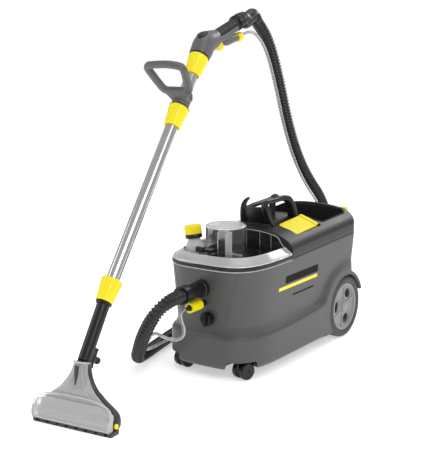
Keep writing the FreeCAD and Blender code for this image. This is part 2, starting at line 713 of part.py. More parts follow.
def make_nose_fittings():
    """Suction port, hose cuff, spray socket with its sleeve, and the drain cap."""
    z = dim("port_z")
    tip = dim("port_tip_y")
    port = turned_body("suction_port", [
        ("Dimensions.hose_radius - 2.5", 0), ("Dimensions.port_radius", 0), ("Dimensions.port_radius", 8.5),
        ("Dimensions.port_radius + 3", 8.5), ("Dimensions.port_radius + 3", 18),
        ("Dimensions.port_radius", 21),
        ("Dimensions.port_radius", "Dimensions.port_root_y - Dimensions.port_tip_y"),
        ("Dimensions.hose_radius - 2.5", "Dimensions.port_root_y - Dimensions.port_tip_y")],
        (0, dim("port_root_y"), z), (0, -1, 0))
    keep(port, "suction_port")
    fit = "Dimensions.port_radius + Dimensions.running_gap"
    cuff = ring("cuff_on_port", (0, tip, z), (0, 1, 0), 25.5, fit, 26)
    keep(cuff, "hose_cuff")
    x = dim("socket_x")
    low = dim("socket_z")
    stem = cylinder("socket_stem", (x, NOSE_Y + 12, low), (0, -1, 0), 9.0, 66)
    tail = cylinder("plug_tail", (x, NOSE_Y - 54.5, low), (0, -1, 0), 5.5, 27)
    keep(group("socket_and_plug", stem, tail), "spray_socket")
    sleeve = ring("sleeve", (x, NOSE_Y - 62, low), (0, 1, 0), 14.5, 9.05, 48)
    keep(sleeve, "spray_coupling")
    x = dim("drain_x")
    low = dim("drain_z")
    disc = cylinder("drain_disc", (x, NOSE_Y + 14, low), (0, -1, 0), 16.95, 20)
    face = cylinder("drain_face", (x, NOSE_Y + 5, low), (0, -1, 0), 20.5, 7)
    grip = box("drain_grip", (x - 4, NOSE_Y - 14, low - 18), 8, 14, 36)
    keep(join("drain_cap_solid", disc, face, grip), "drain_cap")


# ---------------------------------------------------------------- wheels

def make_rear_wheel(side, name):
    """Tyre, and the dished hub with three round windows and its centre cap, turning on the axle."""
    outer = side * dim("wheel_outer_x")
    y = dim("wheel_y")
    z = dim("wheel_radius")
    inward = (-side, 0, 0)
    tyre = turned_body(name + "_tyre", [
        ("Dimensions.hub_radius", 4), ("Dimensions.hub_radius + 5", 0), ("Dimensions.wheel_radius - 8", 0),
        ("Dimensions.wheel_radius - 2", 4), ("Dimensions.wheel_radius", 10),
        ("Dimensions.wheel_radius", "Dimensions.wheel_width - 10"),
        ("Dimensions.wheel_radius - 2", "Dimensions.wheel_width - 4"),
        ("Dimensions.wheel_radius - 8", "Dimensions.wheel_width"),
        ("Dimensions.hub_radius", "Dimensions.wheel_width")], (outer, y, z), inward)
    keep(tyre, name + "_tyre")
    hub = turned_body(name + "_hub_turning", [
        ("Dimensions.axle_radius + Dimensions.running_gap", 6), (23, 6), (26, 9), (62, 9), (66, 3),
        ("Dimensions.hub_radius", 3), ("Dimensions.hub_radius", "Dimensions.wheel_width"),
        (66, "Dimensions.wheel_width"),
        (66, 15), (26, 15), (20, "Dimensions.wheel_width"),
        ("Dimensions.axle_radius + Dimensions.running_gap", "Dimensions.wheel_width")], (outer, y, z), inward)
    windows = []
    for index, angle in enumerate((53, 173, 293)):
        turn = math.radians(angle)
        circle = dim("hub_hole_circle")
        at = (outer + 5 * side, y + circle * math.cos(turn), z + circle * math.sin(turn))
        windows.append(cylinder(f"{name}_window_{index}", at, inward, "Dimensions.hub_hole_radius", 30))
    cap = turned_body(name + "_hub_cap", [
        (0, 6), (19, 6), (19, 3), (14, 1), (0, 0)], (outer, y, z), inward)
    keep(group(name + "_hub_and_cap", cut(name + "_hub_cut", hub, *windows), cap), name + "_hub")


def make_castor(side, name):
    """Swivelling fork with its axle, and the twin wheels."""
    x = side * dim("castor_x")
    turn = FreeCAD.Placement(V(x, dim("castor_y"), 0), FreeCAD.Rotation(Z_AXIS, dim("castor_yaw")))
    radius = dim("castor_radius")
    trail = dim("castor_trail")
    web = dim("castor_gap") - 2 * dim("moving_gap")
    stem = Part.makeCylinder(dim("castor_stem_radius"), 40, V(0, 0, dim("castor_pocket_roof") - 16))
    plate = Part.makeCylinder(19, 5, V(0, 0, dim("castor_pocket_roof") - 13))
    middle = Part.makeBox(web, 36, 34, V(-web / 2, -10, radius - 5))
    hub = Part.makeCylinder(9, web, V(-web / 2, trail, radius), X_AXIS)
    bore = Part.makeCylinder(3.0, web + 10, V(-web / 2 - 5, trail, radius), X_AXIS)
    fork = stem.fuse([plate, middle, hub]).cut(bore).removeSplitter()
    half = dim("castor_gap") / 2
    width = dim("castor_wheel_width")
    pair = []
    for hand in (-1, 1):
        wheel = Part.makeCylinder(radius, width, V(hand * half, trail, radius), X_AXIS * hand)
        wheel = wheel.makeFillet(3.5, [edge for edge in wheel.Edges if isinstance(edge.Curve, Part.Circle)])
        pair.append(wheel.cut(Part.makeCylinder(3.05, 90, V(-45, trail, radius), X_AXIS)))
    keep_shape(Part.Compound(pair), name + "_castor_wheels", MACHINE.multiply(turn))
    length = 2 * (half + width) - 4
    pin = Part.makeCylinder(3.0, length, V(-length / 2, trail, radius), X_AXIS)
    keep_shape(Part.Compound([fork, pin]), name + "_castor_fork", MACHINE.multiply(turn))


# ---------------------------------------------------------------- rear and inside

def make_rear_fittings():
    z = dim("gland_z")
    gland = turned_body("cable_gland", [(4, 0), (10, 0), (10, 14), (13, 14), (13, 20), (7, 40), (4, 40)],
                        (dim("gland_x"), 289.5, z), (0, 1, 0))
    keep(gland, "cable_gland")
    hook = box("hook_plate", (74, 323.5, 371), 30, 5, 24)
    lip = box("hook_lip", (74, 323.5, 390), 30, 16, 5)
    catch = box("hook_catch", (74, 334.5, 383), 30, 5, 12)
    keep(join("hook_solid", hook, lip, catch), "cable_hook")


def make_inside():
    """Fresh-water tank, suction turbine, pump, filter, duct and axle."""
    outer = box("water_outer", (-104, -72, 40), 208, 200, 150)
    inner = box("water_inner", (-101, -69, 43), 202, 194, 144)
    keep(cut("water_tank_solid", outer, inner), "fresh_water_tank")
    turbine = turned_body("suction_turbine", [
        (0, 0), (44, 0), (44, 58), (62, 62), (62, 104), (40, 110), (12, 110), (12, 122), (0, 122)],
        (0, 200, 112), (0, 0, 1))
    keep(turbine, "suction_turbine")
    pump = cylinder("pump_barrel", (62, 135, 66), (0, 1, 0), 24.0, 82)
    head = box("pump_head", (42, 217, 44), 40, 14, 42)
    strainer = cylinder("filter_barrel", (-70, 140, 60), (0, 1, 0), 16.0, 60)
    keep(group("pump_and_filter", join("pump_solid", pump, head), strainer), "spray_pump")
    axle_length = 2 * (dim("wheel_outer_x") - 6.5)
    keep(cylinder("axle_rod", (-axle_length / 2, dim("wheel_y"), dim("wheel_radius")), (1, 0, 0),
                  "Dimensions.axle_radius", axle_length), "rear_axle")
    duct = swept(rounded_wire([(0, -80, 215), (0, 40, 215), (0, 120, 238), (0, 185, 241)]), 15.0, 12.5)
    keep_shape(duct, "suction_duct")


def make_badge():
    """Plain dark bar over a yellow stripe, laid on the housing's right side."""
    slab = housing_solid(extra=-0.8).cut(housing_solid(extra=0.0))
    strips = []
    for low, high in ((262, 282), (247, 254)):
        points = [V(100, -130, low - 22), V(100, 55, low), V(100, 55, high), V(100, -130, high - 22),
                  V(100, -130, low - 22)]
        window = Part.Face(Part.makePolygon(points)).extrude(V(100, 0, 0))
        strips.append(slab.common(window))
    keep_shape(Part.Compound(strips), "badge")


# ---------------------------------------------------------------- wand

LEAN = math.radians(dim("tube_lean"))
TUBE_FOOT = V(0, dim("tube_foot_y"), dim("tube_foot_z"))
TUBE_WAY = V(0, math.sin(LEAN), math.cos(LEAN))


def along_tube(distance):
    return TUBE_FOOT + TUBE_WAY * distance


def make_nozzle():
    """Flared nozzle body, clear window over its front, lip strip and spray bar."""
    half = dim("lip_width") / 2
    foot = V(0, dim("pipe_foot_y"), dim("pipe_foot_z"))
    sections = [
        ((0, 34, 13), half - 4, 15), ((0, 36, 40), half - 6, 13), ((0, 40, 72), 82, 13),
        ((0, 47, 105), 40, 15),
        (tuple(foot), 19, 19),
    ]
    wires = [rounded_section(centre, x, y) for centre, x, y in sections]
    body = Part.makeLoft(wires, True, False)
    keep_shape(body, "nozzle_body", WAND)
    strip = Part.makeBox(2 * half, 36, 12, V(-half, 2, 0))
    slots = []
    for index in range(7):
        at = -half + 2 * half * (index + 0.8) / 7.6
        slots.append(Part.makeBox(12, 8, 5, V(at - 6, 0, 0)))
    strip = strip.cut(Part.makeCompound(slots))
    keep_shape(strip, "lip_strip", WAND)
    profile = [V(-half + 3, -3, 12.3), V(-half + 3, -6, 30), V(-half + 3, 2, 50), V(-half + 3, 14, 58),
               V(-half + 3, 20.5, 58), V(-half + 3, 17.5, 40), V(-half + 3, 18, 12.3), V(-half + 3, -3, 12.3)]
    roll = Part.Face(Part.makePolygon(profile)).extrude(V(2 * half - 6, 0, 0))
    foot = V(0, dim("pipe_foot_y"), dim("pipe_foot_z"))
    way = (along_tube(-6) - foot).normalize()
    clip = Part.makeCylinder(21.5, 8, foot + way * 17, way)
    clip = clip.cut(Part.makeCylinder(dim("pipe_radius") + 0.05, 30, foot - way * 5, way))
    keep_shape(Part.Compound([roll, clip]), "nozzle_window", WAND)


def rounded_section(centre, half_x, half_y):
    """Upright ellipse-like section of the nozzle at one height."""
    x, y, z = centre
    if half_x - half_y < 0.01:
        return Part.Wire(Part.makeCircle(half_x, V(x, y, z), V(0, 0, 1)))
    ellipse = Part.Ellipse(V(x + half_x, y, z), V(x, y + half_y, z), V(x, y, z))
    return Part.Wire(ellipse.toShape())


def nut(name, distance, entry):
    """Yellow union nut turning on the tube, its bore opened to `entry` over the lower half."""
    start = along_tube(distance - dim("nut_length") / 2)
    body = turned_body(name + "_turning", [
        (entry, 0), (21.6, 0), (23, 3), ("Dimensions.nut_radius", 48), (28, 52),
        (28, "Dimensions.nut_length"), (18.1, "Dimensions.nut_length"), (18.1, 30), (entry, 28)],
        tuple(start), tuple(TUBE_WAY))
    grooves = []
    for index in range(12):
        turn = math.radians(30 * index)
        side = V(1, 0, 0) * math.cos(turn) + TUBE_WAY.cross(V(1, 0, 0)) * math.sin(turn)
        at = start + side * (dim("nut_radius") + 0.8) + TUBE_WAY * 5
        grooves.append(cylinder(f"{name}_groove_{index}", tuple(at), tuple(TUBE_WAY), 1.8, 38))
    keep(cut(name + "_grooved", body, *grooves), name, WAND)


def make_tubes():
    """Nozzle pipe, the two suction tubes and the union nuts on them."""
    foot = V(0, dim("pipe_foot_y"), dim("pipe_foot_z"))
    top = along_tube(-6)
    way = (top - foot).normalize()
    pipe = Part.makeCylinder(dim("pipe_radius"), (top - foot).Length, foot, way)
    pipe = pipe.cut(Part.makeCylinder(dim("pipe_radius") - 2, (top - foot).Length, foot, way))
    below = Part.makeBox(200, 200, 60, V(-100, -40, dim("pipe_foot_z") - 60))
    keep_shape(pipe.cut(below), "nozzle_pipe", WAND)
    middle = dim("middle_joint")
    upper = dim("upper_joint")
    for name, start, end in (("lower_tube", -3, middle - 0.5), ("upper_tube", middle, upper + 38)):
        tube = ring(name + "_solid", tuple(along_tube(start)), tuple(TUBE_WAY), "Dimensions.tube_radius",
                    "Dimensions.tube_radius - 1.2", end - start)
        keep(tube, name, WAND)
    nuts = (("lower_nut", 0, 20.6), ("middle_nut", middle, 18.2), ("upper_nut", upper, 18.2))
    for name, distance, entry in nuts:
        nut(name, distance, entry)


def make_d_handle():
    """Collar on the tube and the D-shaped loop leaning forwards from it."""
    collar_at = along_tube(dim("middle_joint") + dim("nut_length") / 2 + 3)
    collar = Part.makeCylinder(24, 46, collar_at, TUBE_WAY)
    hub = collar_at + TUBE_WAY * 24
    rise = V(0, -0.64, 0.768)
    loop = []
    for x, up in ((-40, 36), (-56, 80), (-62, 119), (0, 131), (50, 122), (43, 80), (34, 36)):
        loop.append(tuple(hub + rise * up + V(x, 0, 0)))
    wire = rounded_wire(loop, 0.3, closed=True)
    rim = swept(wire, 10.0)
    web = Part.makeBox(76, 16, 40, V(-40, -8, 4))
    web.Placement = FreeCAD.Placement(hub, FreeCAD.Rotation(Z_AXIS, rise))
    fit = dim("tube_radius") + dim("running_gap")
    bore = Part.makeCylinder(fit, 140, collar_at - TUBE_WAY * 40, TUBE_WAY)
    keep_shape(collar.fuse([rim, web]).cut(bore).removeSplitter(), "d_handle", WAND)


GRIP_START = along_tube(dim("upper_joint") + dim("nut_length") / 2 + 2)
GRIP_WAY = V(0, 0.96, 0.28)
GRIP_KNEE = GRIP_START + TUBE_WAY * 44


def grip_at(distance, drop=0.0):
    """Point along the grip's axis, `drop` below it."""
    return GRIP_KNEE + GRIP_WAY * distance + V(0, 0.28, -0.96) * drop


def make_grip():
    """Elbow housing with its dark insert, bar, lower shell, spray pod, trigger and swivel cuff."""
    route = [tuple(GRIP_START), tuple(GRIP_KNEE + V(0, 2, 6)), tuple(grip_at(60))]
    elbow = swept(rounded_wire(route, 0.45), 27.0)
    bore = Part.makeCylinder(dim("tube_radius") + 0.1, 34, GRIP_START - TUBE_WAY * 20, TUBE_WAY)
    bar_start = grip_at(64)
    keep_shape(elbow.cut(bore), "grip_elbow", WAND)
    bar = Part.makeCylinder(17, 120, bar_start, GRIP_WAY)
    keep_shape(bar, "grip_bar", WAND)
    low = tilted_box(grip_at(64.3, 17.3), 24, 118, 14)
    pod = tilted_box(grip_at(126, 30.5), 26, 56, 24)
    slot = tilted_box(grip_at(69, 21.5), 14, 27.5, 33)
    plug = Part.makeCylinder(8, 26.5, grip_at(182.2, 43), GRIP_WAY)
    shell = low.fuse(pod).cut(slot).removeSplitter()
    keep_shape(Part.Compound([shell, plug]), "grip_shell", WAND)
    trigger = tilted_box(grip_at(72, 24.5), 12.4, 20, 20)
    keep_shape(trigger, "trigger", WAND)
    sleeve = Part.makeCylinder(13.5, 24, grip_at(184, 43), GRIP_WAY)
    keep_shape(sleeve.cut(Part.makeCylinder(8.05, 60, grip_at(170, 43), GRIP_WAY)), "pod_coupling", WAND)


def tilted_box(start, width, length, height):
    """Box along the grip's axis, hanging below its start point."""
    solid = Part.makeBox(width, length, height, V(-width / 2, 0, -height))
    solid.Placement = FreeCAD.Placement(start, FreeCAD.Rotation(Y_AXIS, GRIP_WAY))
    return solid


def to_wand(point):
    """Machine-frame point in the wand's frame."""
    return WAND.inverse().multVec(MACHINE.multVec(V(*point)))


def make_cuff():
    """Swivel cuff that turns the suction hose down from the grip."""
    start = grip_at(184.3)
    end = to_wand(HOSE_ROUTE[-1])
    before = to_wand(HOSE_ROUTE[-2])
    way = (end - before).normalize()
    length = 60.0
    corner = start + GRIP_WAY * length
    meet = end + way * 30
    route = [tuple(start), tuple(corner), tuple(meet), tuple(end)]
    solid = swept(rounded_wire(route, 0.4), 21.5)
    keep_shape(solid, "swivel_cuff", WAND)


def make_spray_valve():
    """Spray valve behind the pipe, and the line from it down to the spray bar."""
    foot = V(0, dim("pipe_foot_y"), dim("pipe_foot_z"))
    way = (along_tube(-6) - foot).normalize()
    side = V(0, 0.83, -0.56)
    offset = side * 31.5
    valve = Part.makeCylinder(9, 52, foot - way * 8 + offset, way)
    knob = Part.makeCylinder(7, 22, foot + way * 18 + offset, side)
    arm = Part.makeCylinder(6, 16, foot + way * 36 + side * 17.2, side)
    keep_shape(valve.fuse([knob, arm]).removeSplitter(), "spray_valve", WAND)
    top = foot - way * 8 + offset
    route = [tuple(top), tuple(top - way * 14), (0, 76, 100), (0, 66, 52), (0, 60.5, 41.6)]
    half = dim("lip_width") / 2
    bar = Part.makeCylinder(7.5, 2 * half - 60, V(-half + 30, 60, 34), X_AXIS)
    keep_shape(bar.fuse(swept(rounded_wire(route), 4.0)), "spray_line", WAND)


def make_screws():
    """Housing screws under the base plate, one group of identical pieces."""
    screws = []
    for side in (-1, 1):
        for y in (-180, -60, 60):
            screws.append(Part.makeCylinder(4.5, 2.4, V(side * 112, y, dim("floor_gap") - 2.4)))
    keep_shape(Part.Compound(screws), "base_screws")


def make_lid_seal():
    """Gasket between the tank's flange and the lid."""
    low = LID_BASE - 0.01
    inset = dim("tank_inset")
    rear = dim("tank_rear_y") - 4
    band = nose_plan(inset + dim("tank_wall") + 0.3, low - 6, 6, rear)
    band = band.cut(nose_plan(inset + dim("tank_wall") + 2.5, low - 7, 9, rear - 2.5))
    keep_shape(band.cut(bottle_pocket(dim("bottle_radius") + 11)).removeSplitter(), "lid_seal")


make_lower_housing()
make_base_plate()
make_screws()
make_lid_seal()
make_spray_valve()
make_top_cover()
for hand, title in ((1, "right"), (-1, "left")):
    make_switch(hand, title)
    make_rear_wheel(hand, title)
    make_castor(hand, title)
make_carry_handle()
make_switch_surrounds()
make_rim_seal()
make_tank_bay()
make_waste_tank()
make_tank_lid()
make_dome_parts()
make_bottle()
make_latch()
make_nose_fittings()
make_rear_fittings()
make_inside()
make_badge()
make_nozzle()
make_tubes()
make_d_handle()
make_grip()
make_cuff()

hose_wire = rounded_wire(HOSE_ROUTE)
hose = swept(hose_wire, dim("hose_radius"))
report_route("suction_hose", HOSE_ROUTE, dim("hose_radius"), hose, hose_wire)
keep_shape(hose, "suction_hose")
spray_wire = rounded_wire(SPRAY_ROUTE)
spray_hose = swept(spray_wire, dim("spray_radius"))
report_route("spray_hose", SPRAY_ROUTE, dim("spray_radius"), spray_hose, spray_wire)
keep_shape(spray_hose, "spray_hose")

doc.recompute()
for obj in doc.Objects:
    if "Invalid" in obj.State or "Error" in obj.State:
        raise RuntimeError(f"{obj.Name} failed: {obj.State}")
for obj in nodes:
    if obj.Shape.isNull() or not obj.Shape.isValid():
        raise RuntimeError(f"{obj.Label} has no valid shape")
os.makedirs("parts", exist_ok=True)
for obj in nodes:
    obj.Shape.exportStep(f"parts/{obj.Label}.step")
    print(obj.Label, len(obj.Shape.Solids), [round(value) for value in (
        obj.Shape.BoundBox.XMin, obj.Shape.BoundBox.XMax, obj.Shape.BoundBox.YMin, obj.Shape.BoundBox.YMax,
        obj.Shape.BoundBox.ZMin, obj.Shape.BoundBox.ZMax)])
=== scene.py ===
import math

import bmesh
import bpy
from mathutils import Matrix, Vector


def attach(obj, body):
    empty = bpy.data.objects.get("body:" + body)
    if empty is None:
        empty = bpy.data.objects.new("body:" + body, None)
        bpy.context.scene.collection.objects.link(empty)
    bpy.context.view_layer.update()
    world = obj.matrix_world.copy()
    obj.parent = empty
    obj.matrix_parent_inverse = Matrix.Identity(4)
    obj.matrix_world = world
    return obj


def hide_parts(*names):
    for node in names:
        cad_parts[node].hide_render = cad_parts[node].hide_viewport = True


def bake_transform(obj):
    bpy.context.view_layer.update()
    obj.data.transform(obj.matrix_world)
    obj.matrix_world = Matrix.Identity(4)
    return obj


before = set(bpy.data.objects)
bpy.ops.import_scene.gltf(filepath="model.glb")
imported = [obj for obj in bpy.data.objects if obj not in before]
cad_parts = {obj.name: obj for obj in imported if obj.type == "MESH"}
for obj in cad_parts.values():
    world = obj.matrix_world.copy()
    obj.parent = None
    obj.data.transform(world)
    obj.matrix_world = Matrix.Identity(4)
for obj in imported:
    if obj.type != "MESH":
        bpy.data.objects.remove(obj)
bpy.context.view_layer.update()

MM = 0.001
ACROSS = Vector((1, 0, 0))
DEEP = Vector((0, 1, 0))

# Placements of the machine's and the wand's own frames, as in the CAD source (mm).
SHIFT = Vector((6.2, 243.8, 0.0))
LIP = Vector((-44.5, -831.0, 0.0))
WAND_YAW = math.radians(4.2)
MACHINE = Matrix.Translation(SHIFT * MM) @ Matrix.Scale(MM, 4)
WAND = Matrix.Translation((SHIFT + LIP) * MM) @ Matrix.Rotation(WAND_YAW, 4, "Z") @ Matrix.Scale(MM, 4)


# ---------------------------------------------------------------- camera, light and floor

AZIMUTH = math.radians(33.92)
ELEVATION = math.radians(11.53)
CAMERA_AT = Vector((1.72204, -2.53055, 1.04411))
SENSOR = 36.0
IMAGE_HEIGHT = 452.0
FOCAL_PIXELS = 1111.1

camera_data = bpy.data.cameras.new("camera")
camera_data.sensor_width = SENSOR
camera_data.lens = FOCAL_PIXELS / IMAGE_HEIGHT * SENSOR
camera = bpy.data.objects.new("camera", camera_data)
camera.location = CAMERA_AT
camera.rotation_euler = (math.pi / 2 - ELEVATION, 0, AZIMUTH)
bpy.context.collection.objects.link(camera)
bpy.context.scene.camera = camera


def area_light(name, place, target, size, power):
    """Soft rectangular light aimed at a point."""
    data = bpy.data.lights.new(name, "AREA")
    data.shape = "RECTANGLE"
    data.size, data.size_y = size
    data.energy = power
    light = bpy.data.objects.new(name, data)
    light.location = place
    light.rotation_euler = (Vector(target) - Vector(place)).to_track_quat("-Z", "Y").to_euler()
    bpy.context.collection.objects.link(light)


area_light("key_light", (2.3, -1.3, 2.6), (0, 0, 0.3), (1.6, 1.6), 30)
area_light("left_light", (-2.6, -1.9, 1.7), (0, 0, 0.4), (1.2, 2.2), 18)
area_light("top_light", (0.2, 0.6, 3.2), (0, 0, 0.2), (2.2, 2.2), 26)
area_light("rear_light", (0.3, 3.0, 2.05), (0, 0, 0.4), (1.3, 0.9), 22)

world = bpy.data.worlds.new("studio")
world.use_nodes = True
background = world.node_tree.nodes["Background"]
seen = world.node_tree.nodes.new("ShaderNodeLightPath")
level = world.node_tree.nodes.new("ShaderNodeMapRange")
level.inputs["To Min"].default_value = 0.55
level.inputs["To Max"].default_value = 1.0
world.node_tree.links.new(seen.outputs["Is Camera Ray"], level.inputs["Value"])
world.node_tree.links.new(level.outputs["Result"], background.inputs["Strength"])
background.inputs["Color"].default_value = (1.0, 1.0, 1.0, 1.0)
bpy.context.scene.world = world
bpy.context.scene.view_settings.view_transform = "Standard"


# ---------------------------------------------------------------- materials

def node(tree, kind, **inputs):
    """New shader node with values on its sockets."""
    made = tree.nodes.new(kind)
    for name, value in inputs.items():
        made.inputs[name.replace("_", " ")].default_value = value
    return made


def surface(name, **shader_values):
    """New material with its Principled shader; constants sit on the shader's own sockets."""
    material = bpy.data.materials.new(name)
    material.use_nodes = True
    shader = material.node_tree.nodes["Principled BSDF"]
    for key, value in shader_values.items():
        shader.inputs[key.replace("_", " ")].default_value = value
    return material, material.node_tree, shader


def noise(tree, scale, detail, rough, stretch=None):
    """Noise in the piece's own coordinates, drawn out into streaks where a stretch is given."""
    place = tree.nodes.new("ShaderNodeTexCoord").outputs["Object"]
    if stretch:
        squeeze = node(tree, "ShaderNodeMapping", Scale=stretch)
        tree.links.new(place, squeeze.inputs["Vector"])
        place = squeeze.outputs["Vector"]
    made = node(tree, "ShaderNodeTexNoise", Scale=scale, Detail=detail, Roughness=rough)
    tree.links.new(place, made.inputs["Vector"])
    return made.outputs["Fac"]


def set_tone(tree, shader, source, colours, positions=(0.0, 1.0)):
    """Base colour that follows the source between two colours."""
    tone = tree.nodes.new("ShaderNodeValToRGB")
    for element, colour, position in zip(tone.color_ramp.elements, colours, positions):
        element.position = position
        element.color = [*colour, 1]
    tree.links.new(source, tone.inputs["Fac"])
    tree.links.new(tone.outputs["Color"], shader.inputs["Base Color"])


def set_gloss(tree, shader, source, low, high):
    """Roughness that follows the source between two values."""
    gloss = node(tree, "ShaderNodeMapRange", To_Min=low, To_Max=high)
    tree.links.new(source, gloss.inputs["Value"])
    tree.links.new(gloss.outputs["Result"], shader.inputs["Roughness"])


def set_bump(tree, shader, source, strength, distance):
    """Bump that follows the source."""
    bump = node(tree, "ShaderNodeBump", Strength=strength, Distance=distance)
    tree.links.new(source, bump.inputs["Height"])
    tree.links.new(bump.outputs["Normal"], shader.inputs["Normal"])


def moulded(name, colour, rough, grain, grain_depth, vary, **shader_values):
    """Moulded plastic: fine grain in the bump, slow change of tone and of gloss."""
    material, tree, shader = surface(name, Roughness=rough, **shader_values)
    slow = noise(tree, 14.0, 4.0, 0.55)
    tones = [[min(1.0, part * share) for part in colour] for share in (1 - vary, 1 + vary)]
    set_tone(tree, shader, slow, tones, (0.3, 0.7))
    set_gloss(tree, shader, slow, max(0.02, rough - 0.06), min(1.0, rough + 0.08))
    set_bump(tree, shader, noise(tree, grain, 2.0, 0.6), grain_depth, 0.0006)
    return material


def clear(name, colour, rough, ior, haze=0.0):
    """Clear plastic: light passes through, with a faint change of gloss and slight moulding waves."""
    material, tree, shader = surface(name, Roughness=rough, Transmission_Weight=1.0 - haze, IOR=ior)
    shader.inputs["Base Color"].default_value = [*colour, 1]
    slow = noise(tree, 22.0, 3.0, 0.5)
    set_gloss(tree, shader, slow, rough, rough + 0.07)
    set_bump(tree, shader, slow, 0.05, 0.001)
    return material


def brushed(name, colour, rough, stretch):
    """Drawn metal tube: fine streaks along its length."""
    material, tree, shader = surface(name, Roughness=rough, Metallic=1.0)
    streak = noise(tree, 60.0, 3.0, 0.6, stretch)
    set_tone(tree, shader, streak, ([part * 0.86 for part in colour], colour))
    set_gloss(tree, shader, streak, max(0.02, rough - 0.05), rough + 0.08)
    return material


GREY = moulded("housing_plastic", (0.068, 0.068, 0.070), 0.42, grain=1100.0, grain_depth=0.10, vary=0.05)
WAND_GREY = moulded("wand_plastic", (0.102, 0.101, 0.106), 0.40, grain=1100.0, grain_depth=0.08, vary=0.06)
COVER = moulded("cover_plastic", (0.018, 0.018, 0.0195), 0.42, grain=800.0, grain_depth=0.12, vary=0.10,
                Specular_IOR_Level=0.4)
BLACK = moulded("black_plastic", (0.007, 0.007, 0.008), 0.28, grain=700.0, grain_depth=0.05, vary=0.12,
                Specular_IOR_Level=0.4)
HOSE = moulded("hose_rubber", (0.008, 0.008, 0.009), 0.30, grain=600.0, grain_depth=0.06, vary=0.15,
               Specular_IOR_Level=0.45)
YELLOW = moulded("yellow_plastic", (0.93, 0.78, 0.002), 0.32, grain=900.0, grain_depth=0.05, vary=0.03)
MILKY = moulded("milky_plastic", (0.80, 0.81, 0.82), 0.38, grain=700.0, grain_depth=0.05, vary=0.04,
                Transmission_Weight=0.35, Subsurface_Weight=0.1)
CAGE = moulded("white_plastic", (0.86, 0.86, 0.86), 0.35, grain=700.0, grain_depth=0.05, vary=0.03)
TYRE = moulded("tyre_rubber", (0.060, 0.060, 0.063), 0.62, grain=500.0, grain_depth=0.2, vary=0.12)
HUB = moulded("hub_plastic", (0.24, 0.24, 0.245), 0.40, grain=900.0, grain_depth=0.08, vary=0.05)
CASTOR = moulded("castor_plastic", (0.007, 0.007, 0.008), 0.38, grain=700.0, grain_depth=0.08, vary=0.14,
                 Specular_IOR_Level=0.35)
MACHINERY = moulded("inner_plastic", (0.05, 0.05, 0.053), 0.5, grain=700.0, grain_depth=0.08, vary=0.12)
SEAL = moulded("seal_rubber_black", (0.02, 0.02, 0.02), 0.6, grain=600.0, grain_depth=0.1, vary=0.1)
CLEAR = clear("clear_polycarbonate", (0.97, 0.98, 0.985), 0.03, 1.24)
DOME_WALL = clear("dome_wall", (0.98, 0.985, 0.99), 0.02, 1.22, haze=0.02)
SKIRT = clear("clear_polycarbonate_haze", (1.0, 1.0, 1.0), 0.05, 1.46, haze=0.30)
DOME_TOP = clear("dome_top_haze", (0.97, 0.975, 0.98), 0.08, 1.3, haze=0.34)
SPRAY = clear("spray_tube_plastic", (0.60, 0.61, 0.62), 0.12, 1.3, haze=0.36)
STEEL = brushed("polished_tube", (0.62, 0.62, 0.63), 0.16, (1.0, 1.0, 0.06))
AXLE = brushed("plated_steel", (0.62, 0.62, 0.62), 0.3, (0.06, 1.0, 1.0))
PRINT_DARK = moulded("printed_bar", (0.004, 0.004, 0.004), 0.6, grain=900.0, grain_depth=0.02, vary=0.1,
                     Specular_IOR_Level=0.12)
# Darker, duller black than the cover for the insides of recesses: painted shade in the storage well and at
# the back of the lip's pits.
RECESS_SHADE = moulded("recess_shade_black", (0.008, 0.008, 0.009), 0.6, grain=800.0, grain_depth=0.1, vary=0.1,
              Specular_IOR_Level=0.15)

FLOOR = moulded("studio_floor", (0.985, 0.985, 0.985), 1.0, grain=60.0, grain_depth=0.0, vary=0.003,
                Emission_Color=(1.0, 1.0, 1.0, 1.0), Emission_Strength=0.48)

NOZZLE_DARK = moulded("nozzle_plastic", (0.036, 0.034, 0.036), 0.36, grain=900.0, grain_depth=0.08, vary=0.10)
LIP_PLASTIC = moulded("lip_plastic", (0.030, 0.033, 0.033), 0.42, grain=700.0, grain_depth=0.1, vary=0.12)
FAN = clear("fan_polycarbonate", (0.93, 0.94, 0.95), 0.06, 1.35, haze=0.34)
ROLL = clear("roll_polycarbonate", (0.93, 0.935, 0.94), 0.07, 1.35, haze=0.36)

CAD_FINISH = {
    GREY: ["lower_housing"],
    WAND_GREY: ["d_handle", "grip_elbow", "grip_shell", "nozzle_body"],
    COVER: ["top_cover", "switch_surrounds", "tank_bay", "base_plate"],
    BLACK: ["carry_handle", "rim_seal", "suction_port", "hose_cuff", "spray_socket", "cable_gland",
            "lid_latch",
            "drain_cap", "nozzle_pipe", "grip_bar", "swivel_cuff", "spray_valve", "lip_strip", "float_valve"],
    YELLOW: ["right_rocker_switch", "left_rocker_switch", "bottle_cap", "cable_hook", "spray_coupling",
             "pod_coupling", "trigger", "lower_nut", "middle_nut", "upper_nut", "badge"],
    CLEAR: ["waste_tank", "tank_lid", "nozzle_window"],
    MILKY: ["dome_cap", "detergent_bottle", "fresh_water_tank"],
    CAGE: ["float_cage"],
    TYRE: ["right_tyre", "left_tyre"],
    HUB: ["right_hub", "left_hub"],
    CASTOR: ["right_castor_fork", "left_castor_fork", "right_castor_wheels", "left_castor_wheels"],
    STEEL: ["lower_tube", "upper_tube"],
    AXLE: ["rear_axle", "base_screws"],
    SEAL: ["lid_seal"],
    MACHINERY: ["suction_turbine", "spray_pump", "suction_duct"],
    SPRAY: ["spray_line"],
    HOSE: ["suction_hose", "spray_hose"],
}
for material, names in CAD_FINISH.items():
    for name in names:
        cad_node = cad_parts[name]
        cad_node.data.materials.clear()
        cad_node.data.materials.append(material)


# ---------------------------------------------------------------- mesh helpers

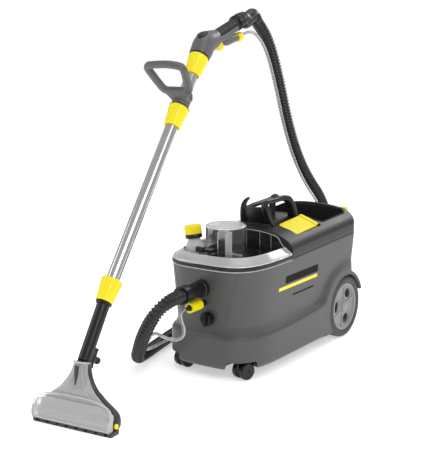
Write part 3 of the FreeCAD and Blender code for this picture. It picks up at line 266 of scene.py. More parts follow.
def plain_mesh(name, points, faces, place):
    """Mesh object with its normals turned outwards."""
    mesh = bpy.data.meshes.new(name)
    mesh.from_pydata([place @ Vector(point) for point in points], [], faces)
    build = bmesh.new()
    build.from_mesh(mesh)
    bmesh.ops.recalc_face_normals(build, faces=build.faces)
    build.to_mesh(mesh)
    build.free()
    made = bpy.data.objects.new(name, mesh)
    bpy.context.collection.objects.link(made)
    return made


def smooth_shade(mesh, crease=38.0):
    """Smooth shading with edges over the crease angle kept sharp."""
    mesh.shade_smooth()
    mesh.set_sharp_from_angle(angle=math.radians(crease))


def solid_cutter(points, faces, place=MACHINE):
    """Unregistered solid used only to carve."""
    return plain_mesh("cutter", points, faces, place)


def carve(piece, cutters):
    """Cuts other solids out of a piece and removes them."""
    for cutter in cutters:
        change = piece.modifiers.new("carve", "BOOLEAN")
        change.operation = "DIFFERENCE"
        change.solver = "MANIFOLD"
        change.object = cutter
    graph = bpy.context.evaluated_depsgraph_get()
    old = piece.data
    carved = bpy.data.meshes.new_from_object(piece.evaluated_get(graph))
    piece.modifiers.clear()
    piece.data = carved
    carved.name = old.name
    bpy.data.meshes.remove(old)
    for cutter in cutters:
        data = cutter.data
        bpy.data.objects.remove(cutter)
        bpy.data.meshes.remove(data)
    smooth_shade(carved)


def make_piece(name, points, faces, place, material, body, replaced=(), slot=None, crease=38.0, cutters=()):
    """Mesh piece in the row frame, smooth except at sharp edges, riding on a body."""
    piece = plain_mesh(name, points, faces, place)
    piece.data.materials.append(material)
    smooth_shade(piece.data, crease)
    if cutters:
        carve(piece, cutters)
    if body:
        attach(piece, body)
    if replaced:
        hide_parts(*replaced)
    return piece


def skin(rings, closed=False, caps=True):
    """Points and faces of a surface through rings of equal count."""
    count = len(rings[0])
    points = [point for ring in rings for point in ring]
    faces = []
    spans = len(rings) if closed else len(rings) - 1
    for row in range(spans):
        low = row * count
        high = ((row + 1) % len(rings)) * count
        for at in range(count):
            after = (at + 1) % count
            faces.append((low + at, low + after, high + after, high + at))
    if caps and not closed:
        faces.append(tuple(range(count))[::-1])
        faces.append(tuple(range(len(points) - count, len(points))))
    return points, faces


def catmull_rom(a, b, c, d, t):
    """Value a share t of the way from b to c, with a before them and d after."""
    square = (2 * a - 5 * b + 4 * c - d) * t * t
    cube = (3 * b - a - 3 * c + d) * t ** 3
    return 0.5 * (2 * b + (c - a) * t + square + cube)


def smooth_line(points, steps, closed=False):
    """Catmull-Rom line through the points (any number of components each)."""
    count = len(points)
    line = []
    spans = count if closed else count - 1
    for index in range(spans):
        if closed:
            p = [points[(index + k) % count] for k in (-1, 0, 1, 2)]
        else:
            p = [points[min(max(index + k, 0), count - 1)] for k in (-1, 0, 1, 2)]
        for step in range(steps):
            line.append(tuple(catmull_rom(*part, step / steps) for part in zip(*p)))
    if not closed:
        line.append(tuple(points[-1]))
    return line


def frames_along(path, closed=False, up=Vector((0, 0, 1))):
    """Tangent and two side directions at each point, turned as little as possible."""
    path = [Vector(point) for point in path]
    count = len(path)
    made = []
    side = None
    for index in range(count):
        if closed:
            way = path[(index + 1) % count] - path[index - 1]
        else:
            way = path[min(index + 1, count - 1)] - path[max(index - 1, 0)]
        way.normalize()
        if side is None:
            side = way.cross(up)
            if side.length < 1e-3:
                side = way.cross(Vector((0, 1, 0)))
        side = (side - way * side.dot(way)).normalized()
        made.append((way, side, way.cross(side)))
    return made


def rounded_ring(centre, side, rise, half_a, half_b, power=2.0, count=32):
    """Superellipse about a centre: power 2 is an ellipse, 4 a rounded rectangle."""
    ring = []
    for index in range(count):
        turn = 2 * math.pi * index / count
        c, s = math.cos(turn), math.sin(turn)
        a = math.copysign(abs(c) ** (2 / power), c) * half_a
        b = math.copysign(abs(s) ** (2 / power), s) * half_b
        ring.append(Vector(centre) + side * a + rise * b)
    return ring


def bar(stations, steps=8, power=2.6, count=28, closed=False, up=Vector((0, 0, 1))):
    """Smooth bar through stations (x, y, z, half width, half thickness)."""
    line = smooth_line(stations, steps, closed)
    sides = frames_along([point[:3] for point in line], closed, up)
    rings = [rounded_ring(point[:3], side, rise, point[3], point[4], power, count)
             for point, (way, side, rise) in zip(line, sides)]
    return skin(rings, closed)


def lathe(profile, base, way, count=64, closed=False):
    """Profile of (radius, height) pairs turned about an axis."""
    way = Vector(way).normalized()
    side = way.orthogonal().normalized()
    rise = way.cross(side)
    base = Vector(base)
    rings = [rounded_ring(base + way * height, side, rise, max(radius, 0.01), max(radius, 0.01), 2.0, count)
             for radius, height in profile]
    return skin(rings, closed)


def ribbed(profile, base, way, grooves, depth, rows, power=6, count=144, closed=False):
    """Profile turned about an axis, with grooves across the rows named."""
    way = Vector(way).normalized()
    side = way.orthogonal().normalized()
    rise = way.cross(side)
    rings = []
    for row, (radius, height) in enumerate(profile):
        ring = []
        for index in range(count):
            turn = 2 * math.pi * index / count
            groove = max(0.0, math.cos(grooves * turn)) ** power if row in rows else 0.0
            reach = max(radius - depth * groove, 0.01)
            ring.append(Vector(base) + way * height + (side * math.cos(turn) + rise * math.sin(turn)) * reach)
        rings.append(ring)
    return skin(rings, closed)


def join(parts):
    """One set of points and faces from several."""
    points, faces = [], []
    for more_points, more_faces in parts:
        base = len(points)
        points += more_points
        faces += [tuple(index + base for index in face) for face in more_faces]
    return points, faces


def moved(shape, way):
    """The same points and faces, moved."""
    points, faces = shape
    return [point + way for point in points], faces


def round_edges(piece, width, angle):
    """Rounds a piece's edges with a modifier, width in mm."""
    cut = piece.modifiers.new("edge_rounding", "BEVEL")
    cut.width = width * MM
    cut.segments = 2
    cut.limit_method = "ANGLE"
    cut.angle_limit = math.radians(angle)
    return cut


def bevelled(name, width):
    """Rounds a CAD node's edges."""
    cad_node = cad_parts[name]
    cad_node.data.shade_smooth()
    round_edges(cad_node, width, 35.0).harden_normals = True


# ---------------------------------------------------------------- hoses

# Control points of the two hoses, machine frame in mm, the same as the CAD routes.
HOSE_ROUTE = [
    (0, -425, 258), (0, -476, 258), (-20, -515, 226), (-64, -509, 160), (-118, -462, 92),
    (-172, -402, 46), (-216, -320, 23), (-246, -215, 19.5), (-275, -90, 19.5), (-300, 50, 19.5),
    (-312, 195, 19.5), (-300, 330, 20), (-262, 455, 22), (-205, 560, 32), (-150, 625, 78),
    (-118, 640, 165), (-108, 606, 272), (-107, 545, 375), (-109, 452, 455), (-111, 378, 545),
    (-112, 318, 655), (-113, 268, 785), (-113, 212, 900), (-114, 160, 960), (-114, 122, 985),
]
SPRAY_ROUTE = [
    (3, -409.5, 216), (3, -434, 216), (20, -452, 198), (36, -456, 172), (26, -462, 148), (-6, -474, 146),
    (-45, -488, 166), (-85, -460, 128), (-128, -421, 90), (-172, -364, 58), (-202, -294, 40),
    (-227, -206, 32.5),
    (-251, -86, 19), (-274, 50, 10), (-286, 190, 6.5), (-276, 318, 6.5), (-241, 436, 10), (-187, 536, 26),
    (-138, 600, 84), (-112, 614, 166), (-104, 582, 262), (-105, 524, 358), (-107, 434, 436), (-109, 356, 532),
    (-110, 294, 646), (-111, 244, 776), (-111, 196, 872), (-110, 150, 926), (-111, 92, 955),
    (-108.4, 38.5, 939.8),
]
HOSE_RADIUS = 18.5
SPRAY_RADIUS = 4.5


def spline_line(name, route, resolution):
    """Points of the smooth NURBS line that has the route as its control points, row frame."""
    data = bpy.data.curves.new(name, "CURVE")
    data.dimensions = "3D"
    spline = data.splines.new("NURBS")
    spline.points.add(len(route) - 1)
    for point, place in zip(spline.points, route):
        point.co = [*(MACHINE @ Vector(place)), 1.0]
    spline.order_u = 3
    spline.use_endpoint_u = True
    spline.resolution_u = resolution
    carrier = bpy.data.objects.new(name, data)
    bpy.context.collection.objects.link(carrier)
    mesh = bpy.data.meshes.new_from_object(carrier)
    line = [vertex.co.copy() for vertex in mesh.vertices]
    bpy.data.objects.remove(carrier)
    bpy.data.meshes.remove(mesh)
    return line


def even_steps(line, step):
    """Points a fixed distance apart along a line, and its length."""
    lengths = [0.0]
    for before, after in zip(line, line[1:]):
        lengths.append(lengths[-1] + (after - before).length)
    total = lengths[-1]
    count = max(2, round(total / step))
    made = []
    segment = 0
    for index in range(count + 1):
        target = total * index / count
        while segment < len(line) - 2 and lengths[segment + 1] < target:
            segment += 1
        share = (target - lengths[segment]) / max(lengths[segment + 1] - lengths[segment], 1e-9)
        made.append(line[segment].lerp(line[segment + 1], min(max(share, 0.0), 1.0)))
    return made, total


RIB_PITCH = 11.0 * MM
RIB_STEPS = 6


def ribbed_hose():
    """Suction hose: one raised helix along a soft wall."""
    line = spline_line("hose_line", HOSE_ROUTE, 24)
    path, total = even_steps(line, RIB_PITCH / RIB_STEPS)
    count = 24
    rings = []
    for index, (point, (way, side, rise)) in enumerate(zip(path, frames_along(path))):
        ring = []
        for at in range(count):
            turn = 2 * math.pi * at / count
            phase = (index / RIB_STEPS + at / count) % 1.0
            crest = max(0.0, math.cos(2 * math.pi * (phase - 0.5))) ** 0.7
            radius = (HOSE_RADIUS - 2.9 + 3.6 * crest) * MM
            ring.append(point + (side * math.cos(turn) + rise * math.sin(turn)) * radius)
        rings.append(ring)
    piece = make_piece("ribbed_suction_hose", *skin(rings), Matrix.Identity(4), HOSE, None,
                       ["suction_hose"], "hose_black", crease=80.0)
    return piece, line, total


def plain_tube():
    """Clear spray hose."""
    line = spline_line("spray_hose_line", SPRAY_ROUTE, 24)
    path, total = even_steps(line, 6 * MM)
    rings = [rounded_ring(point, side, rise, SPRAY_RADIUS * MM, SPRAY_RADIUS * MM, 2.0, 14)
             for point, (way, side, rise) in zip(path, frames_along(path))]
    piece = make_piece("clear_spray_hose", *skin(rings), Matrix.Identity(4), SPRAY, None,
                       ["spray_hose"], "spray_clear")
    return piece, line, total


hose, hose_line, hose_length = ribbed_hose()
spray, spray_line, spray_length = plain_tube()
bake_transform(hose)
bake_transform(spray)


# ---------------------------------------------------------------- housing

HALF = 153.0
NOSE = 222.0
NOSE_SHARE = 2.0 / 3.6
SIDE_Y = -106.0
REAR_Y = 322.0
CORNER = 42.0
FLOOR_GAP = 33.0
RIM = 316.0
COVER_Y = -88.0
WHEEL_Y = 243.0
WHEEL_Z = 97.0
ARCH = 103.0
FENDER = 115.0


def ease(t):
    """Smooth step from 0 to 1."""
    t = min(max(t, 0.0), 1.0)
    return t * t * (3 - 2 * t)


def lerp(low, high, t):
    """Value a share t of the way from low to high."""
    return low + (high - low) * t


def plan(inset, rear=REAR_Y):
    """Outline of the machine from above: superellipse nose, straight sides, round rear corners."""
    half = HALF - inset
    nose = NOSE - inset
    corner = max(CORNER - inset, 4.0)
    outline = []
    for index in range(81):
        turn = math.pi * (index / 80 - 1)
        across = math.cos(turn)
        along = abs(math.sin(turn)) ** NOSE_SHARE
        outline.append((half * math.copysign(abs(across) ** NOSE_SHARE, across), SIDE_Y - nose * along))
    for index in range(1, 61):
        outline.append((half, lerp(SIDE_Y, rear - corner, index / 60)))
    for index in range(1, 13):
        turn = math.pi / 2 * index / 12
        outline.append((half - corner + corner * math.cos(turn), rear - corner + corner * math.sin(turn)))
    for index in range(1, 16):
        outline.append((lerp(half - corner, corner - half, index / 16), rear))
    left = [(-x, y) for x, y in outline[81:-15]]
    return outline + left[::-1]


def seam_height(y):
    """Top of the housing: level at the nose, rising to the rear."""
    return RIM + 15.0 * max(0.0, y - COVER_Y) / 488.0


def wall_inset(x, y, z):
    """How far the wall stands in from the plan: lower band, waist, arch flare and nose panel."""
    foot = 6.0 * (1 - ease((z - FLOOR_GAP) / 8.0))
    upper = 12.0 * max(0.0, RIM - z) / (RIM - 150.0)
    shoulder = 120.0 + 12.0 * max(0.0, y - SIDE_Y) / 240.0
    inset = foot + lerp(-3.6, upper, ease((z - shoulder) / 24.0))
    if y > SIDE_Y:
        reach = math.hypot(y - WHEEL_Y, z - WHEEL_Z)
        inset = lerp(-2.6, inset, ease((reach - 117.0) / 46.0))
    else:
        edge = 74.0 + (z - 150.0) * 0.22
        panel = ease((edge - abs(x)) / 2.5) * ease((z - 153.0) / 3.0)
        inset += 1.6 * panel
    return inset


def wall_ring(level, extra=0.0, lip=0.0):
    """Ring of the wall: level runs from 0 at the foot to 1 at the seam."""
    ring = []
    for index, (x, y) in enumerate(plan(0.0)):
        z = lerp(FLOOR_GAP, seam_height(y), level)
        rear = REAR_Y - 30.0 * max(0.0, RIM - z) / (RIM - FLOOR_GAP) - extra
        px, py = plan_at(index, wall_inset(x, y, z) + extra, rear)
        ring.append(Vector((px, py, z + lip)))
    return ring


PLAN_CACHE = {}


def plan_at(index, inset, rear):
    """Point of the plan at a given inset, from cached outlines."""
    key = (round(inset * 20), round(rear * 4))
    if key not in PLAN_CACHE:
        PLAN_CACHE[key] = plan(key[0] / 20, key[1] / 4)
    return PLAN_CACHE[key][index]


def make_housing():
    """Thin-walled shell with its band, waist, nose panel and wheel arches."""
    levels = [0.0, 0.008, 0.018, 0.03] + [0.03 + 0.965 * index / 58 for index in range(1, 58)]
    rings = [wall_ring(level) for level in levels]
    rings += [wall_ring(1.0, extra, lip) for extra, lip in ((0.0, -1.6), (0.7, -0.4), (2.0, 0.0),
                                                            (4.0, -0.4))]
    rings += [wall_ring(level, 5.0) for level in (0.9, 0.6, 0.45, 0.32, 0.28, 0.1, 0.0)]
    cutters = []
    for side in (-1, 1):
        disc = [(0, 0), (ARCH, 0), (ARCH, 70), (0, 70)]
        cutters.append(solid_cutter(*lathe(disc, (side * 104.0, WHEEL_Y, WHEEL_Z), (side, 0, 0), 96)))
        pocket = [(0, -20), (47, -20), (47, 50), (44, 55), (0, 55)]
        cutters.append(solid_cutter(*lathe(pocket, (side * 101.0, -284.0, 0), (0, 0, 1))))
    make_piece("moulded_housing", *skin(rings, closed=True), MACHINE, GREY, "machine", ["lower_housing"],
               "housing_grey", cutters=cutters)


def make_fenders():
    """Rounded wheel-arch lips that carry on past the rear wall."""
    profile = [(ARCH, 104), (ARCH, 153.5), (ARCH + 1.0, 155.2), (ARCH + 3.0, 156.0), (FENDER - 5, 155.6),
               (FENDER - 1.5, 153.8), (FENDER, 150.5), (FENDER, 146), (FENDER - 4, 141), (ARCH + 4, 138),
               (ARCH + 4, 104)]
    low = -math.radians(38)
    high = math.radians(159)
    for side, name in ((1, "right"), (-1, "left")):
        rings = []
        for index in range(81):
            turn = lerp(high, low, index / 80)
            away = Vector((0, -math.cos(turn), math.sin(turn)))
            rings.append([Vector((side * x, WHEEL_Y, WHEEL_Z)) + away * radius for radius, x in profile])
        make_piece(name + "_fender_lip", *skin(rings), MACHINE, GREY, "machine", slot="housing_grey",
                   crease=50)


# ---------------------------------------------------------------- top cover

SHOULDER_LINE = smooth_line([(0, 390.5), (46, 389), (92, 382.5), (118, 373), (138, 362), (153, 352)], 8)


def deck_height(x, y):
    """Height of the cover's deck before its edges are rounded."""
    reach = abs(x)
    height = SHOULDER_LINE[-1][1]
    for (x0, z0), (x1, z1) in zip(SHOULDER_LINE, SHOULDER_LINE[1:]):
        if x0 <= reach <= x1:
            height = lerp(z0, z1, (reach - x0) / (x1 - x0))
            break
    return height + 17.0 * (y - COVER_Y) / 420.0


def cover_ring(inset, drop=None, seam=None):
    """Ring of the cover: either at the deck less a drop, or at the seam plus an offset."""
    ring = []
    front = COVER_Y + 0.10 * min(inset, 60.0)
    for x, y in plan(inset, REAR_Y - inset):
        y = max(y, front)
        z = seam_height(y) + seam if seam is not None else deck_height(x, y) - drop
        ring.append(Vector((x, y, z)))
    return ring


def rounded_rectangle(half_x, low_y, high_y, radius, z, steps=8):
    """Ring with rounded corners at one height."""
    ring = []
    corners = ((half_x - radius, high_y - radius, 0), (radius - half_x, high_y - radius, 1),
               (radius - half_x, low_y + radius, 2), (half_x - radius, low_y + radius, 3))
    for x, y, quarter in corners:
        for index in range(steps + 1):
            turn = math.pi / 2 * (quarter + index / steps)
            ring.append(Vector((x + radius * math.cos(turn), y + radius * math.sin(turn), z)))
    return ring


def block_in(place, half_x, half_y, low, high, radius=3.0):
    """Rounded block in a local placement."""
    points, faces = skin([rounded_rectangle(half_x, -half_y, half_y, radius, z) for z in (low, high)])
    return [place @ point for point in points], faces


def switch_place(side):
    """Placement of a switch on the cover's shoulder: X runs outwards and down."""
    turn = Matrix.Rotation(math.radians(20), 4, "Y")
    if side < 0:
        turn = Matrix.Rotation(math.pi, 4, "Z") @ turn
    return Matrix.Translation((side * 88.0, 50.0, 376.0)) @ turn


WELL_HALF = 118.0
WELL_LOW = 132.0
WELL_HIGH = 296.0
WELL_FLOOR = 262.0
WELL_CORNER = 22


def well_ring(spread, z):
    """Outline of the storage well, spread outwards or drawn in, at one height."""
    corner = max(WELL_CORNER + spread, 3)
    return rounded_rectangle(WELL_HALF + spread, WELL_LOW - spread, WELL_HIGH + spread, corner, z)


def make_cover():
    """Domed black cover, open over the storage well and the switch recesses."""
    edge = ((6.0, -14.0), (6.0, 0.9), (1.6, 0.9), (0.6, 1.4), (0.0, 2.8), (0.0, 8.0))
    rings = [cover_ring(inset, seam=seam) for inset, seam in edge]
    radius = 16.0
    for index in range(9):
        turn = math.pi / 2 * index / 8
        rings.append(cover_ring(radius * (1 - math.cos(turn)), drop=radius * 0.8 * (1 - math.sin(turn))))
    for inset in (20, 26, 33, 42, 52, 62, 74, 88, 104, 122, 140, 152.5):
        rings.append(cover_ring(inset, drop=0.0))
    cutters = [solid_cutter(*skin([well_ring(0.0, z) for z in (240.0, 480.0)]))]
    for side in (-1, 1):
        cutters.append(solid_cutter(*block_in(switch_place(side), 38.2, 70.7, -16.0, 60.0)))
    make_piece("moulded_cover", *skin(rings), MACHINE, COVER, "machine", ["top_cover"], "cover_black",
               cutters=cutters)


def make_well():
    """Tub of the storage well with its raised rim, in the darker, duller recess black that paints the shade
    in the well.
    """
    floor = WELL_FLOOR
    rings = [well_ring(*step) for step in ((-60.0, floor - 3), (3.0, floor - 3), (3.0, 330.0))]
    for spread, lift in ((5.0, -1.5), (3.2, 1.6), (0.6, 1.4), (-0.2, -2.0)):
        rings.append([Vector((p.x, p.y, deck_height(p.x, p.y) + lift)) for p in well_ring(spread, 0)])
    wall_steps = ((-0.6, 300.0), (-2.0, floor + 8), (-4.0, floor + 2.5), (-8.0, floor + 0.6), (-60.0, floor))
    rings += [well_ring(*step) for step in wall_steps]
    make_piece("storage_well_tub", *skin(rings), MACHINE, RECESS_SHADE, "machine", slot="cover_black")


# ---------------------------------------------------------------- carry handle

def make_carry_handle():
    """Plinth, the front panel between its posts, two rails over the deck, horn and knob."""
    right_rail = [(43, -33, 388, 14, 8), (41, -45, 412, 13, 8), (39, -55, 440, 12, 8), (37, -57, 456, 10, 8),
                  (36, -44, 461, 9.5, 7.5), (36, 8, 460, 10, 7.5), (37, 46, 461, 11, 8.5),
                  (40, 72, 452, 13, 9.5),
                  (43, 88, 424, 15, 9), (45, 97, 388, 18, 9)]
    horn = [(-45, -33, 388, 14, 8), (-44, -42, 412, 12, 8), (-42, -48, 438, 9.5, 7), (-39, -48, 453, 7, 6),
            (-34, -42, 463, 5, 4.5), (-29, -36, 468, 3, 3)]
    left_rail = [(-41, -42, 432, 8, 7), (-40, 0, 438, 8, 7), (-39, 60, 440, 8.5, 7.5),
                 (-38, 100, 441, 9.5, 9),
                 (-38, 122, 442, 13, 13), (-38, 134, 442, 12, 12), (-38, 141, 442, 4, 4)]
    left_post = [(-39, 112, 438, 9, 7), (-40, 112, 416, 11, 7), (-42, 100, 388, 16, 8)]
    brace = [(-36, -30, 430, 5, 5), (-10, -32, 434, 5, 5), (14, -33, 438, 5, 5), (36, -36, 444, 5, 5)]
    bars = ((right_rail, 3.0), (horn, 3.0), (left_rail, 2.2), (left_post, 3.0), (brace, 2.4))
    parts = [bar(stations, 8, power) for stations, power in bars]
    bows = ((386, -34, 9), (398, -38, 9.5), (412, -42, 9), (426, -45.5, 8), (438, -48.5, 6.5), (445, -50, 5))
    panel = []
    for z, low_y, bow in bows:
        front = [Vector((x, low_y - bow * (1 - (x / 42) ** 2), z + 0.10 * x)) for x in range(-42, 43, 7)]
        panel.append(front + [point + Vector((0, 4.5, 0)) for point in front[::-1]])
    plinth = [rounded_rectangle(52 - s, -56 + s, 112 - s, 10, z)
              for s, z in ((0, 378), (0, 394), (0.8, 397.5), (3.0, 399), (24, 399.5))]
    parts += [skin(panel), skin(plinth)]
    make_piece("carrying_handle", *join(parts), MACHINE, BLACK, "machine", ["carry_handle"], "part_black")


make_housing()
make_fenders()
make_cover()
make_well()
make_carry_handle()

for name, width in (("right_rocker_switch", 2.2), ("left_rocker_switch", 2.2), ("switch_surrounds", 1.2),
                    ("cable_hook", 1.5), ("drain_cap", 1.5), ("spray_socket", 1.0), ("spray_coupling", 1.2),
                    ("suction_port", 1.0), ("hose_cuff", 1.5), ("lid_latch", 1.5), ("float_cage", 0.5),
                    ("float_valve", 0.8), ("right_castor_fork", 1.0), ("left_castor_fork", 1.0),
                    ("trigger", 1.5),
                    ("rim_seal", 1.5)):
    bevelled(name, width)


# ---------------------------------------------------------------- lid, dome and bottle

LID_REAR = -92.0
LID_BASE = 325.5
DOME = Vector((-20.0, -176.0, 0.0))
DOME_RADIUS = 58.0
BOTTLE_AT = Vector((-78.0, -226.0, 262.0))
BOTTLE_LEAN = math.radians(-9.5)
BOTTLE_WAY = Vector((math.sin(BOTTLE_LEAN), 0, math.cos(BOTTLE_LEAN)))
BOTTLE_RADIUS = 31.0


def nose_strip(profile, rear=LID_REAR):
    """Strip round the nose with a closed profile of (inset, height) pairs."""
    rings = []
    for side_y in (rear, SIDE_Y + 0.5):
        rings.append([Vector((inset - HALF, side_y, z)) for inset, z in profile])
    for index in range(1, 80):
        rings.append([Vector((*plan_at(index, inset, REAR_Y), z)) for inset, z in profile])
    for side_y in (SIDE_Y + 0.5, rear):
        rings.append([Vector((HALF - inset, side_y, z)) for inset, z in profile])
    return skin(rings)


def nose_outline(inset, z, rear=LID_REAR):
    """Closed outline of the nose at one inset and height, straight across the rear."""
    ring = [Vector((inset - HALF, rear, z))]
    ring += [Vector((*plan_at(index, inset, REAR_Y), z)) for index in range(0, 81)]
    ring.append(Vector((HALF - inset, rear, z)))
    return ring


def make_back_wall():
    """Clear wall that rises along the cover's front arch, with its edge bead and upright ribs."""
    half, foot, front = 131.0, 341.6, -96.5
    steps = [lerp(-half, half, index / 60) for index in range(61)]
    tops = [lerp(foot + 1, deck_height(x, COVER_Y) - 4, ease((half - abs(x)) / 24)) for x in steps]
    rings = [[Vector((x, y, z)) for y, z in ((front, foot), (front, top), (front + 2, top),
                                             (front + 2, foot))]
             for x, top in zip(steps, tops)]
    make_piece("lid_back_wall", *skin(rings), MACHINE, CLEAR, "tank_lid", slot="clear_plastic")
    edge = [bar([(x, front + 0.6, top, 1.3, 1.3) for x, top in zip(steps[::3], tops[::3])], 3, 2.0, 12)]
    for x in (-84, -46, 0, 46, 84):
        top = deck_height(x, COVER_Y) - 4
        edge.append(bar([(x, front - 0.6, foot, 0.9, 0.9), (x, front - 0.6, top, 0.9, 0.9)], 2, 2.0, 10,
                        up=Vector((0, 1, 0))))
    make_piece("lid_back_wall_edges", *join(edge), MACHINE, SKIRT, "tank_lid", slot="clear_plastic")


def make_lid():
    """Clear lid: sloped shoulder and deck, both open round the bottle, and the tank's flange bead, whose
    milky white paints the highlight line along the flange's edge.
    """
    foot = LID_BASE + 0.3
    shoulder = [(0.2, foot), (-0.4, LID_BASE + 3), (1.0, LID_BASE + 6.5), (4.0, LID_BASE + 8.5),
                (22.0, 346.5),
                (24.0, 348.0), (26.5, 347.0), (27.5, 343.0), (26.5, 340.5), (22.0, 342.0), (5.5, 329.5),
                (2.6, foot)]
    room = BOTTLE_RADIUS + 3
    way_out = [(0, 0), (room, 0), (room, 170), (0, 170)]
    cutters = [solid_cutter(*lathe(way_out, BOTTLE_AT - Vector((0, 0, drop)), BOTTLE_WAY,
                                   96)) for drop in (0, 20)]
    make_piece("lid_shoulder", *nose_strip(shoulder), MACHINE, SKIRT, "tank_lid", ["tank_lid"],
               "clear_plastic",
               cutters=cutters)
    # Flange bead under the rim seal: the bead is real, but its milky white is a painted highlight along the
    # flange's edge.
    bead = [(0.8, 311.4), (-0.9, 312.0), (-1.3, 313.1), (-0.9, 314.2), (0.8, 314.8)]
    make_piece("tank_flange_highlight_bead", *nose_strip(bead), MACHINE, MILKY, "machine", slot="clear_plastic")
    pocket = BOTTLE_RADIUS + 4
    bore = DOME_RADIUS - 3
    cutters = [solid_cutter(*lathe([(0, 300), (bore, 300), (bore, 380), (0, 380)], DOME, (0, 0, 1), 96)),
               solid_cutter(*lathe([(0, 0), (pocket, 0), (pocket, 150), (0, 150)], BOTTLE_AT, BOTTLE_WAY,
                                   96))]
    make_piece("lid_deck", *skin([nose_outline(27.0, z) for z in (339.4, 341.6)]), MACHINE, CLEAR, "tank_lid",
               slot="clear_plastic", cutters=cutters)
    make_back_wall()


def make_dome():
    """Dome's cylinder and top, and the latch's pin between its two cheeks."""
    r = DOME_RADIUS
    wall = [(r - 2.4, 340), (r, 340), (r, 344), (r + 1.6, 345.5), (r + 1.6, 348), (r, 349.5), (r, 404),
            (r - 0.6, 405.6), (r - 2.0, 405.6), (r - 2.4, 404)]
    make_piece("dome_cylinder", *lathe(wall, DOME, (0, 0, 1), 96, closed=True), MACHINE, DOME_WALL,
               "tank_lid",
               slot="clear_plastic")
    pin = bar([(-60.4, -250, 350, 2, 2), (-5.6, -250, 350, 2, 2)], 2, 2.0, 16)
    make_piece("latch_pin", *pin, MACHINE, BLACK, "tank_lid", slot="clear_plastic")
    turns = [2 * math.pi * index / 20 for index in range(20)]
    for name, x in (("left_latch_cheek", -60.4), ("right_latch_cheek", -6.0)):
        rings = [[Vector((x + s, -250 + 6 * math.cos(t),
                          348 + 7 * math.sin(t))) for t in turns] for s in (0, 4)]
        make_piece(name, *skin(rings), MACHINE, BLACK, "tank_lid", slot="clear_plastic")
    cap = [(0.01, 412.6), (20, 412.8), (r - 9, 412.6), (r - 4, 412.0), (r - 1.2, 410.2), (r + 0.6, 408.4),
           (r + 0.6, 406.4), (r - 3.4, 406.0), (r - 5, 408.8), (0.01, 409.6)]
    make_piece("dome_top", *lathe(cap, DOME, (0, 0, 1), 96), MACHINE, DOME_TOP, "dome_cap", ["dome_cap"],
               "milky_plastic")


def make_bottle():
    """Milky bottle with soft shoulders, black collar and ribbed yellow cap."""
    body = [(0.01, 0.4), (26, 0.4), (30, 2), (31, 6), (31, 66), (30.4, 76), (28.4, 86), (24.6, 95),
            (20.6, 102),
            (18.2, 107), (17.4, 111), (17.0, 113), (17.0, 136), (14.8, 136), (14.8, 110), (22, 95),
            (27.5, 80),
            (28.6, 66), (28.6, 6), (0.01, 4)]
    make_piece("bottle_body", *lathe(body, BOTTLE_AT, BOTTLE_WAY, 72), MACHINE, MILKY, "detergent_bottle",
               ["detergent_bottle"], "milky_plastic")
    collar = [(17.1, 111.5), (22.6, 111.5), (24.6, 113), (24.6, 121), (23.4, 122.6), (17.1, 122.6)]
    make_piece("bottle_neck_collar", *lathe(collar, BOTTLE_AT, BOTTLE_WAY, 72, closed=True), MACHINE, BLACK,
               "detergent_bottle", slot="part_black")
    cap = [(17.3, 123.6), (23.8, 123.6), (24.8, 124.6), (24.8, 144), (24.2, 147.4), (22.2, 149.4),
           (18.0, 150.0),
           (16.5, 149.2), (0.01, 149.0)]
    make_piece("bottle_screw_cap", *ribbed(cap, BOTTLE_AT, BOTTLE_WAY, 30, 0.9, range(1, 5), count=180),
               MACHINE,
               YELLOW, "bottle_cap", ["bottle_cap"], "yellow")


def make_badge():
    """Plain dark bar over a yellow stripe and a thin lower bar on the right side."""
    prints = (("badge_dark_bar", (247.0, 269.0), (-119.0, 68.0), PRINT_DARK, ["badge"]),
              ("badge_yellow_stripe", (230.7, 240.8), (-155.0, 66.0), YELLOW, []),
              ("badge_lower_bar", (203.0, 207.5), (-72.0, 52.0), PRINT_DARK, []))
    for name, (low, high), span, material, replaced in prints:
        rings = []
        for index in range(41):
            y = lerp(*span, index / 40)
            rings.append([Vector((HALF - wall_inset(HALF, y, z) + lift, y, z))
                          for z, lift in ((low, 0.0), (low, 0.45), (high, 0.45), (high, 0.0))])
        make_piece(name, *skin(rings), MACHINE, material, "machine", replaced, "badge_print")


# ---------------------------------------------------------------- wand

LEAN = math.radians(38.6)
TUBE_WAY = Vector((0, math.sin(LEAN), math.cos(LEAN)))
TUBE_FOOT = Vector((0, 170.0, 315.0))
PIPE_FOOT = Vector((0, 62.0, 160.0))
MIDDLE_JOINT = 529.0
UPPER_JOINT = 699.0
NUT_LENGTH = 62.0
LIP_HALF = 121.5


def along_tube(distance):
    """Point on the wand tube's axis."""
    return TUBE_FOOT + TUBE_WAY * distance


PIPE_WAY = (along_tube(-6) - PIPE_FOOT).normalized()


def make_nuts():
    """Yellow union nuts: grooved barrel and flared rim."""
    for name, distance in (("lower_nut", 0.0), ("middle_nut", MIDDLE_JOINT), ("upper_nut", UPPER_JOINT)):
        bore = 20.7 if name == "lower_nut" else 18.6
        inner = 20.7 if name == "lower_nut" else 18.4
        profile = [(bore, 0.2), (21.6, 0.2), (22.6, 1.4), (23.0, 4), (23.4, 9), (23.0, 11), (23.4, 13),
                   (24.6, 24), (26.2, 40), (27.2, 49), (27.0, 51), (28.0, 53), (28.4, 59), (27.4, 61.6),
                   (18.4, 61.8), (18.4, 40), (inner, 20)]
        base = along_tube(distance - NUT_LENGTH / 2)
        shape = ribbed(profile, base, TUBE_WAY, 12, 1.3, range(6, 10), 5, closed=True)
        make_piece(name + "_moulded", *shape, WAND, YELLOW, name, [name], "yellow")


